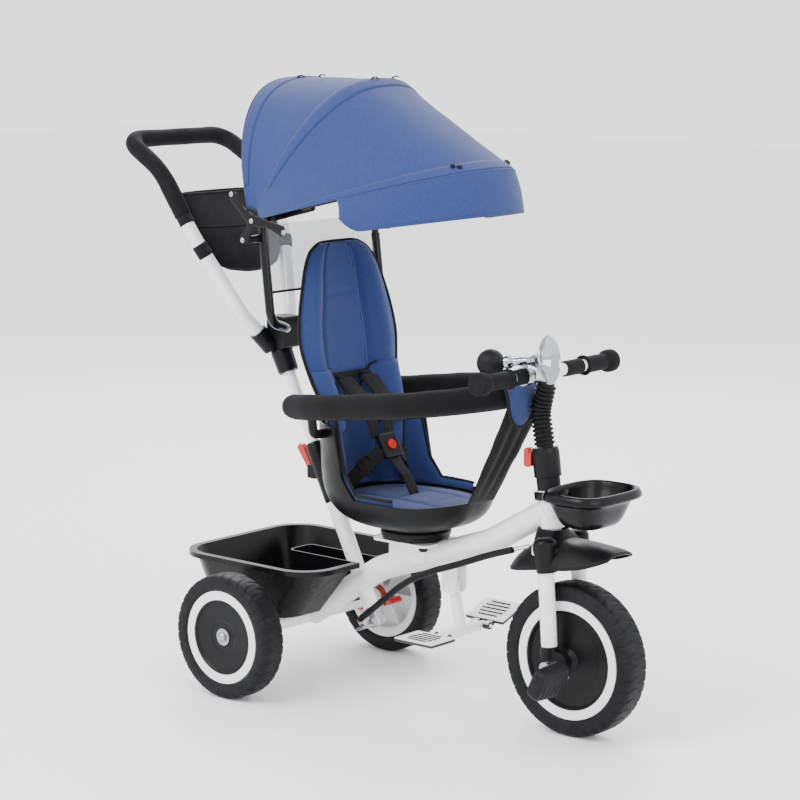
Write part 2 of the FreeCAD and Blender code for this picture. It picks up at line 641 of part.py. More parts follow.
def make_column():
    low = post_point(POST_BOTTOM_Z - 32)
    high = post_point(COLLAR_TOP_Z - 14)
    tube = sleeve(low, high, COLUMN_R, STEM_R + CLEAR)
    arm_low = post_point(POST_BOTTOM_Z - 30)
    arm_high = post_point(POST_BOTTOM_Z - 18)
    hub = sleeve(arm_low, arm_high, COLUMN_R + 5, COLUMN_R)
    arm = slab(V(-11, ROD_Y - 8, ARM_PLATE_LOW), V(8, -COLUMN_R - 2, ARM_PLATE_TOP), 2, LEFT)
    arm.Placement = FreeCAD.Placement(arm_low, FreeCAD.Rotation(UP, POST_AXIS))
    keep("column_tube", fused([tube, hub, arm]))
    start = post_point(POST_TOP_Z + CLEAR)
    top = post_point(COLLAR_TOP_Z)
    axis = unit(top - start)
    length = (top - start).Length
    inner_top = (high - start).Length
    collar = turned([(COLUMN_R, 0), (POST_R + 0.6, 0), (POST_R + 2, 6), (POST_R + 2, length - 14), (15, length - 4),
                     (13.5, length), (STEM_R + CLEAR, length), (STEM_R + CLEAR, inner_top), (COLUMN_R, inner_top)],
                    start, axis)
    pivot = post_point(LEVER_PIVOT_Z)
    lugs = []
    for side in (-1, 1):
        y_low = min(side * 5.5, side * 9.5)
        lugs.append(slab(V(pivot.x - LEVER_REACH - 7, y_low, pivot.z - 12),
                         V(pivot.x - 8, y_low + 4, pivot.z + 12), 5, LEFT))
    core = rod(post_point(300), post_point(440), COLUMN_R + 1)
    lever_pivot = V(pivot.x - LEVER_REACH, 0, pivot.z)
    lug_pin = rod(lever_pivot - LEFT * 5.5, lever_pivot + LEFT * 5.5, 2.5)
    keep("column_collar", fused([collar] + [lug.cut(core) for lug in lugs] + [lug_pin]))
    cam = rod(lever_pivot - LEFT * 5.2, lever_pivot + LEFT * 5.2, 5.5)
    grip_top = post_point(418) - FORWARD * (LEVER_REACH + 4)
    grip = prism_y([(lever_pivot.x - 5.2, lever_pivot.z - 2), (lever_pivot.x + 2, lever_pivot.z + 5),
                    (grip_top.x + 3, grip_top.z), (grip_top.x - 3, grip_top.z + 2),
                    (grip_top.x - 9, grip_top.z - 6)], 5.2)
    lever = cam.fuse(grip).cut(rod(lever_pivot - LEFT * 8, lever_pivot + LEFT * 8, 2.5 + RUN))
    lever = lever.cut(rod(post_point(300), post_point(440), POST_R + 2 + CLEAR))
    keep("clamp_lever", lever.removeSplitter())


HANDLE_ROUTE = [
    V(-88, 24, 600),
    V(-112, 62, 652),
    V(-180, 118, 795),
    V(-248, 127, 905),
    V(HANDLE_X, HANDLE_HALF_WIDTH, HANDLE_Z),
]
HANDLE_BENDS = [60, 180, 120]
FOAM_START = 0.28           # share of the third run where the foam begins
HANDLE_CORNER = 34.0


def handle_loop(radius, start_share=None):
    left = list(HANDLE_ROUTE)
    bends = list(HANDLE_BENDS)
    if start_share is not None:
        left = [left[2] + (left[3] - left[2]) * start_share] + left[3:]
        bends = bends[2:]
    right = [V(p.x, -p.y, p.z) for p in reversed(left)]
    return bar(left + right, radius, bends + [HANDLE_CORNER] * 2 + bends[::-1])


def make_handle():
    loop = handle_loop(HANDLE_TUBE_R)
    hollow = handle_loop(HANDLE_TUBE_R - 1.6)
    stem = sleeve(post_point(240), post_point(YOKE_BOTTOM_Z + 40), STEM_R, STEM_R - 1.6)
    keep("handle_tubes", Part.makeCompound([loop.cut(hollow), stem]))
    foam = handle_loop(HANDLE_FOAM_R, FOAM_START).cut(loop)
    keep("handle_foam", foam.removeSplitter())
    boss = turned([(0, 0), (17, 0), (19, 4), (20, 40), (17, 60), (0, 60)], post_point(YOKE_BOTTOM_Z),
                  post_point(YOKE_TOP_Z) - post_point(YOKE_BOTTOM_Z))
    sockets = []
    for _, side in SIDES:
        foot = V(HANDLE_ROUTE[0].x, side * HANDLE_ROUTE[0].y, HANDLE_ROUTE[0].z)
        bend = V(HANDLE_ROUTE[1].x, side * HANDLE_ROUTE[1].y, HANDLE_ROUTE[1].z)
        direction = unit(bend - foot)
        sockets.append(rod(foot - direction * 14, foot + direction * 26, HANDLE_TUBE_R + 4))
    lug = slab(V(-92, -20, 590), V(-50, 20, 648), 6, LEFT)
    stem_solid = rod(post_point(240), post_point(YOKE_BOTTOM_Z + 40), STEM_R)
    yoke = fused([boss, lug] + sockets)
    yoke = yoke.cut(loop.fuse(handle_loop(HANDLE_TUBE_R - 1.6))).cut(stem_solid)
    return yoke


# ---------------------------------------------------------------- bag between the handle tubes
def bag_section(z, half_width, depth_front, depth_back, inset=0.0):
    """Horizontal lens-shaped section of the pouch."""
    share = (z - 652.0) / (795.0 - 652.0)
    x = -112 - 68 * share
    if z > 795:
        x = -180 - 68 * (z - 795) / 110
    w = half_width - inset
    front = V(x + depth_front - inset, 0, z)
    back = V(x - depth_back + inset, 0, z)
    left = V(x, w, z)
    right = V(x, -w, z)
    return Part.Wire([Part.Arc(left, front, right).toShape(), Part.Arc(right, back, left).toShape()])


BAG_LEVELS = ((720, 75, 16, 26), (745, 85.5, 22, 38), (790, 102, 20, 40), (846, 107, 12, 30))


def make_bag():
    outer = lofted([bag_section(z, w, f, b) for z, w, f, b in BAG_LEVELS])
    inner_levels = [(BAG_LEVELS[0][0] + 3,) + BAG_LEVELS[0][1:]] + list(BAG_LEVELS[1:3])
    inner_levels.append((BAG_LEVELS[3][0] + 0.1,) + BAG_LEVELS[3][1:])
    inner = lofted([bag_section(z, w, f, b, 3.0) for z, w, f, b in inner_levels])
    pouch = outer.cut(inner).cut(handle_loop(HANDLE_TUBE_R + CLEAR))
    keep("rear_bag", pouch.cut(handle_loop(HANDLE_FOAM_R + CLEAR, FOAM_START - 0.01)))


# ---------------------------------------------------------------- canopy support
SUPPORT_TOP = V(22, CANOPY_LEG_Y, 792)
SUPPORT_KNEE = V(38, CANOPY_LEG_Y, 658)
SUPPORT_TURN = V(26, 92, 641)
SUPPORT_REAR = V(-70, 14, 634)
SUPPORT_BENDS = [28, 50, 16]
LEG_AXIS = unit(SUPPORT_TOP - SUPPORT_KNEE)


def support_points():
    left = [SUPPORT_TOP, SUPPORT_KNEE, SUPPORT_TURN, SUPPORT_REAR]
    return left + [V(p.x, -p.y, p.z) for p in reversed(left)]


def make_support(yoke):
    bends = SUPPORT_BENDS + SUPPORT_BENDS[::-1]
    solid = bar(support_points(), CANOPY_TUBE_R, bends)
    hollow = bar(support_points(), CANOPY_LEG_R + CLEAR, bends)
    keep("canopy_support", solid.cut(hollow))
    keep("handle_yoke", yoke.cut(solid).removeSplitter())


ARM_Y = 162.0
ARM_THICK = 4.0
ARM_PITCH = ARM_THICK + 1.0
HUB_PIN_R = 4.0
HUB = V(HOOD_X + 7, ARM_Y, HOOD_Z + 2)


def flat_arm(ends, width, y, thick):
    """Link plate with round ends in the side plane."""
    shapes = []
    for start, end in ends:
        a = V(start.x, y, start.z)
        b = V(end.x, y, end.z)
        along = unit(b - a)
        across = V(-along.z, 0, along.x) * (width / 2)
        shapes.append(Part.Face(outline([a + across, b + across, b - across, a - across])).extrude(LEFT * thick))
        for p in (a, b):
            shapes.append(Part.makeCylinder(width / 2, thick, p, LEFT))
    return fused(shapes)


ARM_REAR = V(-10, 0, 880)
ARM_LOW = V(14, 0, 800)
ARM_FRONT = V(114, 0, 826)


def both_sides(make_one):
    one = make_one()
    return Part.makeCompound([one, mirrored(one)])


def make_canopy_bracket():
    def left():
        plate = flat_arm([(HUB, ARM_REAR), (HUB, ARM_LOW)], 18, ARM_Y, ARM_THICK)
        boss_low = V(SUPPORT_TOP.x - 1, CANOPY_LEG_Y, 800)
        leg_top = SUPPORT_TOP + LEG_AXIS * 34
        shoe = rod(SUPPORT_TOP + LEG_AXIS * 3, leg_top, 10)
        bridge = slab(V(boss_low.x - 12, CANOPY_LEG_Y + 4, 798), V(boss_low.x + 10, ARM_Y + 1, 822), 3, LEFT)
        leg = rod(SUPPORT_TOP - LEG_AXIS * 60, leg_top - LEG_AXIS * 4, CANOPY_LEG_R)
        pin = rod(HUB - LEFT * (2 * ARM_PITCH + 0.3), HUB + LEFT * 0.01, HUB_PIN_R)
        return fused([plate, shoe, bridge, pin]).cut(leg)

    def leg_left():
        return rod(SUPPORT_TOP - LEG_AXIS * 60, SUPPORT_TOP + LEG_AXIS * 30, CANOPY_LEG_R)

    keep("canopy_bracket", both_sides(left))
    return both_sides(leg_left)


# ---------------------------------------------------------------- canopy hoops and fabric
# each hoop: angle of its plane above the forward horizontal, half width, reach, fullness
REAR_HOOP = (106.0, 186.0, 248.0, 2.4)
MID_HOOP = (61.0, 182.0, 274.0, 2.4)
FRONT_HOOP = (14.0, 190.0, 400.0, 2.2)


def hoop_points(hoop, inset, count=18, reach_from=0.0):
    degrees, half_width, reach, fullness = hoop
    lean = V(math.cos(math.radians(degrees)), 0, math.sin(math.radians(degrees)))
    points = []
    for i in range(count + 1):
        t = -math.pi / 2 + math.pi * i / count
        c = max(math.cos(t), 0.0) ** (2 / fullness)
        s = math.copysign(abs(math.sin(t)) ** (2 / fullness), math.sin(t))
        along = max((reach - inset) * c, reach_from)
        points.append(V(HOOD_X, 0, HOOD_Z) + lean * along + LEFT * ((half_width - inset) * s))
    return points


def hoop_curve(points):
    curve = Part.BSplineCurve()
    curve.interpolate(points)
    return curve.toShape()


def arch_wire(hoop, inset, skin, start):
    outer = hoop_points(hoop, inset, reach_from=start)
    inner = hoop_points(hoop, inset + skin, reach_from=start)
    return Part.Wire([hoop_curve(outer), Part.LineSegment(outer[-1], inner[-1]).toShape(),
                      hoop_curve(list(reversed(inner))), Part.LineSegment(inner[0], outer[0]).toShape()])


def between(a, b, share, swell=1.0):
    mixed = [x + (y - x) * share for x, y in zip(a, b)]
    mixed[2] *= swell
    return tuple(mixed)


def make_canopy():
    rear_far = between(REAR_HOOP, MID_HOOP, 0.015)
    rear_near = between(REAR_HOOP, MID_HOOP, 0.985)
    front_far = between(MID_HOOP, FRONT_HOOP, 0.015)
    front_near = between(MID_HOOP, FRONT_HOOP, 0.955)
    start = 22.0
    keep("canopy_rear_fabric", lofted([arch_wire(rear_far, 0, HOOD_SKIN, start),
                                       arch_wire(between(REAR_HOOP, MID_HOOP, 0.5, 0.94), 0, HOOD_SKIN, start),
                                       arch_wire(rear_near, 0, HOOD_SKIN, start)]))
    keep("canopy_front_fabric", lofted([arch_wire(front_far, 0, HOOD_SKIN, start),
                                        arch_wire(front_near, 0, HOOD_SKIN, start)], True))


def hoop_rod(hoop, inset, start):
    points = [p for p in hoop_points(hoop, inset, 24) if (p - V(HOOD_X, p.y, HOOD_Z)).Length > start]
    path = Part.Wire([hoop_curve(points)])
    ring = Part.Wire(Part.makeCircle(HOOP_R, points[0], points[1] - points[0]))
    return path.makePipeShell([ring], True, False), points[0], points[-1]


def make_hoops(legs):
    inset = HOOD_SKIN + HOOP_R + HOOP_GAP
    rear, right_end, left_end = hoop_rod(REAR_HOOP, inset, 60)
    keep("canopy_rear_hoop", Part.makeCompound([rear, legs]))
    for name, hoop, arm_y in (("mid", MID_HOOP, ARM_Y - ARM_PITCH), ("front", FRONT_HOOP, ARM_Y - 2 * ARM_PITCH)):
        wire, right_end, left_end = hoop_rod(hoop, inset, 70)
        thick = ARM_THICK
        arm = flat_arm([(HUB, left_end)], 12, arm_y, thick)
        link = rod(V(left_end.x, arm_y + thick / 2, left_end.z), left_end, 3)
        arm = arm.fuse(link).cut(Part.makeCylinder(HUB_PIN_R + RUN, 30, V(HUB.x, ARM_Y - 20, HUB.z), LEFT))
        keep("canopy_" + name + "_hoop", fused([wire, arm, mirrored(arm)]))


def brim_wire(z_at, grow_side, grow_front):
    degrees, half_width, reach, fullness = FRONT_HOOP
    plan_reach = reach * math.cos(math.radians(degrees)) + grow_front
    points = []
    count = 20
    for i in range(count + 1):
        t = -math.pi / 2 + math.pi * i / count
        x = HOOD_X + plan_reach * max(math.cos(t), 0.0) ** (2 / fullness)
        y = math.copysign((half_width + grow_side) * abs(math.sin(t)) ** (2 / fullness), math.sin(t))
        points.append(V(x, y, z_at(x)))
    return Part.Wire([hoop_curve(points), Part.LineSegment(points[-1], points[0]).toShape()])


def make_brim():
    slope = math.tan(math.radians(FRONT_HOOP[0]))

    def top_z(x):
        return HOOD_Z + slope * (x - HOOD_X)

    def low_z(x):
        return 792 + 0.155 * x

    def block(inset, lift, drop):
        return lofted([brim_wire(lambda x: top_z(x) + lift, -inset, -inset),
                       brim_wire(lambda x: low_z(x) - drop, 6 - inset, 26 - inset)], True)

    skirt = block(0, 0, 0).cut(block(HOOD_SKIN, 0.5, 0.5))
    keep("canopy_brim", skirt.cut(slab(V(-100, -300, 700), V(205, 300, 1000))))


def make_mesh_window():
    """Net panel stretched between the two canopy legs."""
    half = CANOPY_LEG_Y - CANOPY_TUBE_R - CLEAR - 0.2
    half_high = half - 2.2
    low = SUPPORT_KNEE + LEG_AXIS * 52
    middle = SUPPORT_TOP - LEG_AXIS * 2
    high = SUPPORT_TOP + LEG_AXIS * 34
    corners = []
    for point, y in ((low, half), (middle, half), (middle, half_high), (high, half_high)):
        corners.append(V(point.x, y, point.z))
    corners += [V(p.x, -p.y, p.z) for p in reversed(corners)]
    keep("mesh_window", Part.Face(outline(corners)).extrude(V(1.5, 0, 0)))


# ---------------------------------------------------------------- seat
PAN_FRONT_X = 382.0
PAN_LEVELS = ((SWIVEL_TOP_Z, 184, 304, 60, 50), (318, 130, PAN_FRONT_X - 40, 92, 80),
              (342, 92, PAN_FRONT_X - 10, 114, 105), (374, 76, PAN_FRONT_X, 122, 112),
              (430, 71, PAN_FRONT_X + 2, 124, 112), (492, 67, PAN_FRONT_X + 4, 125, 112))
PAN_WALL = 4.0
BUTTOCK_Z = 357.0


def pan_solid(inset, lift):
    wires = []
    for z, x_rear, x_front, half_width, corner in PAN_LEVELS:
        wires.append(round_plan(x_rear + inset, x_front - inset, half_width - inset, corner - inset, z + lift))
    return lofted(wires)


def rim_cut():
    """Everything above the bucket's rim line, seen from the side."""
    return prism_y([(420, 372), (330, 362), (205, 363), (178, 400), (160, 486), (40, 486), (40, 520), (420, 520)], 160)


def guard_points():
    def ring(x, y):
        return V(x, y, 505 + 0.125 * x)
    left = [ring(84, 138), ring(172, GUARD_HALF_WIDTH), ring(374, GUARD_HALF_WIDTH), ring(GUARD_FRONT_X, 70)]
    return left + [V(p.x, -p.y, p.z) for p in reversed(left)]


GUARD_BENDS = [260, 140, 140]


def make_seat():
    disc = turned([(0, SWIVEL_TOP_Z - 13), (SWIVEL_R - 2, SWIVEL_TOP_Z - 13), (SWIVEL_R, SWIVEL_TOP_Z - 10),
                   (SWIVEL_R, SWIVEL_TOP_Z - 4), (SWIVEL_R - 4, SWIVEL_TOP_Z), (0, SWIVEL_TOP_Z)],
                  V(SEAT_X, 0, 0), UP)
    spindle = rod(V(SEAT_X, 0, SADDLE_Z - 6), V(SEAT_X, 0, SWIVEL_TOP_Z - 12), 6.2 - RUN)
    keep("swivel_disc", disc.fuse(spindle).removeSplitter())
    shell = pan_solid(0, 0).cut(pan_solid(PAN_WALL, PAN_WALL)).cut(rim_cut())
    guard = bar(guard_points(), GUARD_R, GUARD_BENDS + GUARD_BENDS[::-1])
    caps = []
    for end in (guard_points()[0], guard_points()[-1]):
        caps.append(Part.makeSphere(GUARD_R, end))
    guard = guard.fuse(caps).removeSplitter()
    keep("guard_ring", guard)
    guard_gap = bar(guard_points(), GUARD_R + CLEAR, GUARD_BENDS + GUARD_BENDS[::-1])
    arms = []
    for _, side in SIDES:
        arm = bar([V(132, side * 108, 470), V(136, side * 146, 474), V(140, side * 155, 512)], 8, 12)
        arms.append(arm.cut(guard_gap).cut(pan_solid(PAN_WALL, PAN_WALL)))
    keep("seat_pan", fused([shell] + arms))
    cushion = pan_solid(PAN_WALL + 0.5, PAN_WALL + 0.5).common(slab(V(0, -200, 300), V(500, 200, BUTTOCK_Z)))
    keep("seat_cushion", cushion)
    keep("seat_back", lofted([back_section(*level) for level in BACK_LEVELS]))


# height, centre x of the rear surface, half width, wing depth, thickness
BACK_LEVELS = ((BUTTOCK_Z + CLEAR, 93, 82, 42, 16), (450, 82, 94, 48, 18), (490, 79, 98, 46, 18),
               (560, 69, 114, 28, 18), (633, 62, 126, 20, 18), (729, 53, 102, 16, 16), (775, 48, 76, 12, 14),
               (SEAT_TOP_Z, 48, 46, 8, 10))


def back_section(z, x, half_width, wing, thickness):
    rear = Part.Arc(V(x + wing, half_width, z), V(x, 0, z), V(x + wing, -half_width, z)).toShape()
    front = Part.Arc(V(x + wing + thickness * 0.5, -half_width + 6, z), V(x + thickness, 0, z),
                     V(x + wing + thickness * 0.5, half_width - 6, z)).toShape()
    return Part.Wire([rear, Part.LineSegment(V(x + wing, -half_width, z),
                                             V(x + wing + thickness * 0.5, -half_width + 6, z)).toShape(),
                      front, Part.LineSegment(V(x + wing + thickness * 0.5, half_width - 6, z),
                                              V(x + wing, half_width, z)).toShape()])


# ---------------------------------------------------------------- crotch panel and harness
BUCKLE = V(182, 0, 440)
BUTTON_TRAVEL = 2.5
BUCKLE_TILT = -28.8         # degrees the buckle leans back


def make_restraint():
    top = V(GUARD_FRONT_X - 13, 0, 542.5)
    bottom = V(PAN_FRONT_X + 3.8, 0, 366)
    along = bottom - top
    side = V(along.z, 0, -along.x).normalize()
    corners = [top - LEFT * 46, top + LEFT * 46, bottom + LEFT * 36, bottom - LEFT * 36]
    panel = Part.Face(outline(corners)).extrude(side * 3)
    keep("crotch_panel", panel)
    lean = FreeCAD.Rotation(LEFT, BUCKLE_TILT).multVec(UP)
    out = FreeCAD.Rotation(LEFT, BUCKLE_TILT).multVec(FORWARD)
    body = slab(V(-6, -22, -23), V(6, 22, 23), 4)
    body.Placement = FreeCAD.Placement(BUCKLE, FreeCAD.Rotation(LEFT, BUCKLE_TILT))
    button = rod(BUCKLE + out * 3, BUCKLE + out * 9, 9)
    hole = rod(BUCKLE + out * (3 - BUTTON_TRAVEL - CLEAR), BUCKLE + out * 20, 9 + CLEAR)
    keep("buckle", body.cut(hole))
    keep("buckle_button", button)
    straps = []
    low_pin = BUCKLE - lean * 23.3
    straps.append(ribbon([V(236, 0, BUTTOCK_Z + 0.3), V(222, 0, 392), low_pin], 25, 1.6, LEFT))
    for _, s in SIDES:
        anchor = V(94, s * 34, 560)
        end = BUCKLE + lean * 20 + LEFT * (s * 17) - out * 7
        middle = (anchor + end) * 0.5 + V(20, 0, 6)
        straps.append(ribbon([anchor, middle, end], 24, 1.6, LEFT))
        hip = V(152, s * 78, BUTTOCK_Z + 13)
        waist = BUCKLE + LEFT * (s * 22.4) - lean * 6
        straps.append(ribbon([hip, (hip + waist) * 0.5 + V(6, 0, 8), waist], 24, 1.6, unit(V(-0.3, 0, 1))))
    keep("harness", Part.makeCompound(straps))


# ---------------------------------------------------------------- footrest, brake and steering rod
FOOT_BAR = V(346, 0, 135)
PLATE_HINGE_Y = 46.0
PLATE_SPAN = 74.0
PLATE_LENGTH = 84.0
PLATE_THICK = 7.0
LEFT_PLATE_TILT = 20.0


def make_footrest():
    knuckle = rod(FOOTREST_PIVOT - LEFT * (EAR_GAP - CLEAR), FOOTREST_PIVOT + LEFT * (EAR_GAP - CLEAR), 9)
    drop = rod(FOOTREST_PIVOT, FOOT_BAR, FOOTREST_TUBE_R - 0.5)
    cross_bar = rod(FOOT_BAR - LEFT * PLATE_HINGE_Y, FOOT_BAR + LEFT * PLATE_HINGE_Y, FOOTREST_TUBE_R)
    pins = []
    for _, side in SIDES:
        y = side * (PLATE_HINGE_Y + 10)
        stub = rod(FOOT_BAR + LEFT * (side * (PLATE_HINGE_Y - 1)), FOOT_BAR + LEFT * (side * (PLATE_HINGE_Y + 16)), 7)
        pins.append(stub)
        pins.append(rod(V(FOOT_BAR.x - 22, y, FOOT_BAR.z + 1), V(FOOT_BAR.x + 22, y, FOOT_BAR.z + 1), 3))
    tube = fused([knuckle, drop, cross_bar] + pins)
    keep("footrest", tube.cut(rod(FOOTREST_PIVOT - LEFT * 30, FOOTREST_PIVOT + LEFT * 30, 3 + RUN)))
    for name, side in SIDES:
        y0 = side * (PLATE_HINGE_Y + 10)
        x0 = FOOT_BAR.x
        z0 = FOOT_BAR.z + 1
        y_far = side * (PLATE_HINGE_Y + 10 + PLATE_SPAN)
        low = V(x0 - PLATE_LENGTH / 2, min(y0 + side * 9, y_far), z0 - 1)
        high = V(x0 + PLATE_LENGTH / 2, max(y0 + side * 9, y_far), z0 - 1 + PLATE_THICK)
        plate = slab(low, high, 3)
        knuckles = []
        for x_low in (x0 - 20, x0 + 8.5):
            barrel = rod(V(x_low, y0, z0), V(x_low + 11.5, y0, z0), 7)
            tab = slab(V(x_low, min(y0, y0 + side * 12), z0 - 4), V(x_low + 11.5, max(y0, y0 + side * 12), z0 + 4))
            knuckles += [barrel, tab]
        bore = rod(V(x0 - 40, y0, z0), V(x0 + 40, y0, z0), 3 + RUN)
        solid = fused([plate] + knuckles).cut(bore)
        if side == 1:
            solid.rotate(V(x0, y0, z0), FORWARD, LEFT_PLATE_TILT)
        keep("foot_plate_" + name, solid)


BRAKE_Y = (134.0, 176.0)


def make_brake():
    hubs = []
    for y in BRAKE_Y:
        hubs.append(sleeve(V(0, y - 5, AXLE_TUBE_Z), V(0, y + 5, AXLE_TUBE_Z), AXLE_TUBE_R + 5, AXLE_TUBE_R + CLEAR))
    ring_bore = rod(V(0, 100, AXLE_TUBE_Z), V(0, 200, AXLE_TUBE_Z), AXLE_TUBE_R + CLEAR)
    left = V(56, BRAKE_Y[1], 112)
    right = V(56, BRAKE_Y[0], 112)
    arms = []
    for y in BRAKE_Y:
        arms.append(rod(V(12, y, AXLE_TUBE_Z), V(56, y, 112), 4.5))
    foot = rod(right, left, 6)
    keep("brake_pedal", fused(hubs + arms + [foot]).cut(ring_bore))


ROD_ROUTE = [V(146, ROD_Y, 128), V(196, ROD_Y, 168), V(250, ROD_Y, 212), V(309, ROD_Y, 241),
             V(372, ROD_Y, 263), V(432, ROD_Y, 287), V(486, ROD_Y, 305)]
ROD_SLEEVE_R = 6.0


def rod_bends():
    bends = []
    for a, b, c in zip(ROD_ROUTE, ROD_ROUTE[1:], ROD_ROUTE[2:]):
        turn = (b - a).getAngle(c - b)
        bends.append(0.45 * min((b - a).Length, (c - b).Length) / math.tan(turn / 2))
    return bends


def make_steering_rod():
    bends = rod_bends()
    print("steering sleeve bend radii:", [round(b) for b in bends])
    cover = bar(ROD_ROUTE, ROD_SLEEVE_R, bends)
    length = smooth_route(ROD_ROUTE, bends).Length
    print("sleeve volume / (section x length):", round(cover.Volume / (math.pi * ROD_SLEEVE_R ** 2 * length), 4))
    arm_foot = post_point(POST_BOTTOM_Z - 30)
    drop = (ROD_ROUTE[0] - arm_foot).dot(POST_AXIS) - ARM_PLATE_TOP - CLEAR
    stud = rod(ROD_ROUTE[0] + POST_AXIS * 2, ROD_ROUTE[0] - POST_AXIS * drop, 3.5)
    keep("steering_sleeve", cover.fuse(stud).removeSplitter())
    last = ROD_ROUTE[-1]
    direction = unit(last - ROD_ROUTE[-2])
    wires = []
    for shift in (-2.4, 2.4):
        start = last + direction * 5 + UP * shift
        reach = (COVER_REAR_X - start.x) / direction.x
        wires.append(rod(start, start + direction * reach, 1.3).cut(cover_block()))
    keep("steering_wires", Part.makeCompound(wires))


make_frame()
make_swivel_base()
make_axle()
for wheel_name, wheel_side in SIDES:
    rear_wheel(wheel_name, wheel_side)
make_rear_basket()
make_front_basket()
make_fork()
make_fender()
make_steering_head()
make_handlebar()
make_grips()
make_horn()
make_release_lever()
make_front_wheel()
make_column()
make_support(make_handle())
make_bag()
make_canopy()
make_hoops(make_canopy_bracket())
make_brim()
make_mesh_window()
make_seat()
make_restraint()
make_footrest()
make_brake()
make_steering_rod()

os.makedirs("parts", exist_ok=True)
for node, solid in PIECES.items():
    placed = solid.copy()
    placed.translate(V(-MID_X, 0, 0))
    placed.exportStep("parts/" + node + ".step")
    print(node, len(placed.Solids), placed.isValid(), round(placed.Volume / 1000, 1))
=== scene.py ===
import json
import math
import bpy
from mathutils import Matrix, Vector, noise


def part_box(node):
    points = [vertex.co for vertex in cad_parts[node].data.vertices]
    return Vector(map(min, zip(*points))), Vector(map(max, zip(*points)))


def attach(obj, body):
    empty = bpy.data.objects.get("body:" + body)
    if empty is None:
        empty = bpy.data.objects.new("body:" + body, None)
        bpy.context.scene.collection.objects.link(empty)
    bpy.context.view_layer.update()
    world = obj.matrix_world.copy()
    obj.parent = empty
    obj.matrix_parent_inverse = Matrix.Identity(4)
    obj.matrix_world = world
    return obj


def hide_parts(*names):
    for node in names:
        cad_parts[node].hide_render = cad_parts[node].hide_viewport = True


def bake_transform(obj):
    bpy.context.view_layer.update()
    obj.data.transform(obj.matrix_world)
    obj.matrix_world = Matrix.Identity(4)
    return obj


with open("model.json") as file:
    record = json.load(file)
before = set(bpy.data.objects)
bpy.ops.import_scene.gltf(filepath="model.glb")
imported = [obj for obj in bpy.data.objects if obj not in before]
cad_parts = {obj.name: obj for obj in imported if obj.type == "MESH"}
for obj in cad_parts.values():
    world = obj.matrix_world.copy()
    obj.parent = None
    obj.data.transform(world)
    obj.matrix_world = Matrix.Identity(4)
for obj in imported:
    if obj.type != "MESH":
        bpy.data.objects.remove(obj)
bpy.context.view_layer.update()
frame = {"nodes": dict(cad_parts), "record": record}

MID_X = 182.75              # the object's middle, in millimetres ahead of the rear axle
UP = Vector((0, 0, 1))
LEFT = Vector((0, 1, 0))


def at(x, y, z):
    """A place given in millimetres from the ground under the rear axle."""
    return Vector(((x - MID_X) / 1000, y / 1000, z / 1000))


# ---------------------------------------------------------------- camera, light and floor
CAMERA_AT = Vector((2.80173, -3.25801, 1.22358))
CAMERA_TURN = math.radians(40.4536)
CAMERA_DIP = math.radians(9.2914)
CAMERA_ROLL = math.radians(0.1516)


def make_camera():
    a, d, roll = CAMERA_TURN, CAMERA_DIP, CAMERA_ROLL
    right = Vector((math.cos(a), math.sin(a), 0))
    forward = Vector((-math.sin(a) * math.cos(d), math.cos(a) * math.cos(d), -math.sin(d)))
    up = Vector((-math.sin(a) * math.sin(d), math.cos(a) * math.sin(d), math.cos(d)))
    right, up = right * math.cos(roll) + up * math.sin(roll), up * math.cos(roll) - right * math.sin(roll)
    data = bpy.data.cameras.new("camera")
    data.sensor_width = 36.0
    data.lens = 112.46
    camera = bpy.data.objects.new("camera", data)
    bpy.context.scene.collection.objects.link(camera)
    axes = Matrix((right, up, -forward)).transposed().to_4x4()
    axes.translation = CAMERA_AT
    camera.matrix_world = axes
    bpy.context.scene.camera = camera


def area_light(name, place, target, size, power):
    data = bpy.data.lights.new(name, "AREA")
    data.size = size
    data.energy = power
    lamp = bpy.data.objects.new(name, data)
    bpy.context.scene.collection.objects.link(lamp)
    lamp.location = place
    lamp.rotation_euler = (Vector(target) - Vector(place)).to_track_quat("-Z", "Y").to_euler()


def make_light():
    area_light("key", (-0.6, -2.8, 3.2), (0, 0, 0.5), 2.2, 130)
    area_light("fill", (3.2, -0.6, 2.0), (0, 0, 0.5), 2.0, 45)
    area_light("back", (-1.8, 2.2, 2.8), (0, 0, 0.6), 2.2, 90)
    world = bpy.data.worlds.new("studio")
    world.use_nodes = True
    world.node_tree.nodes["Background"].inputs["Color"].default_value = (0.97, 0.98, 1.0, 1)
    world.node_tree.nodes["Background"].inputs["Strength"].default_value = 2.1
    bpy.context.scene.world = world


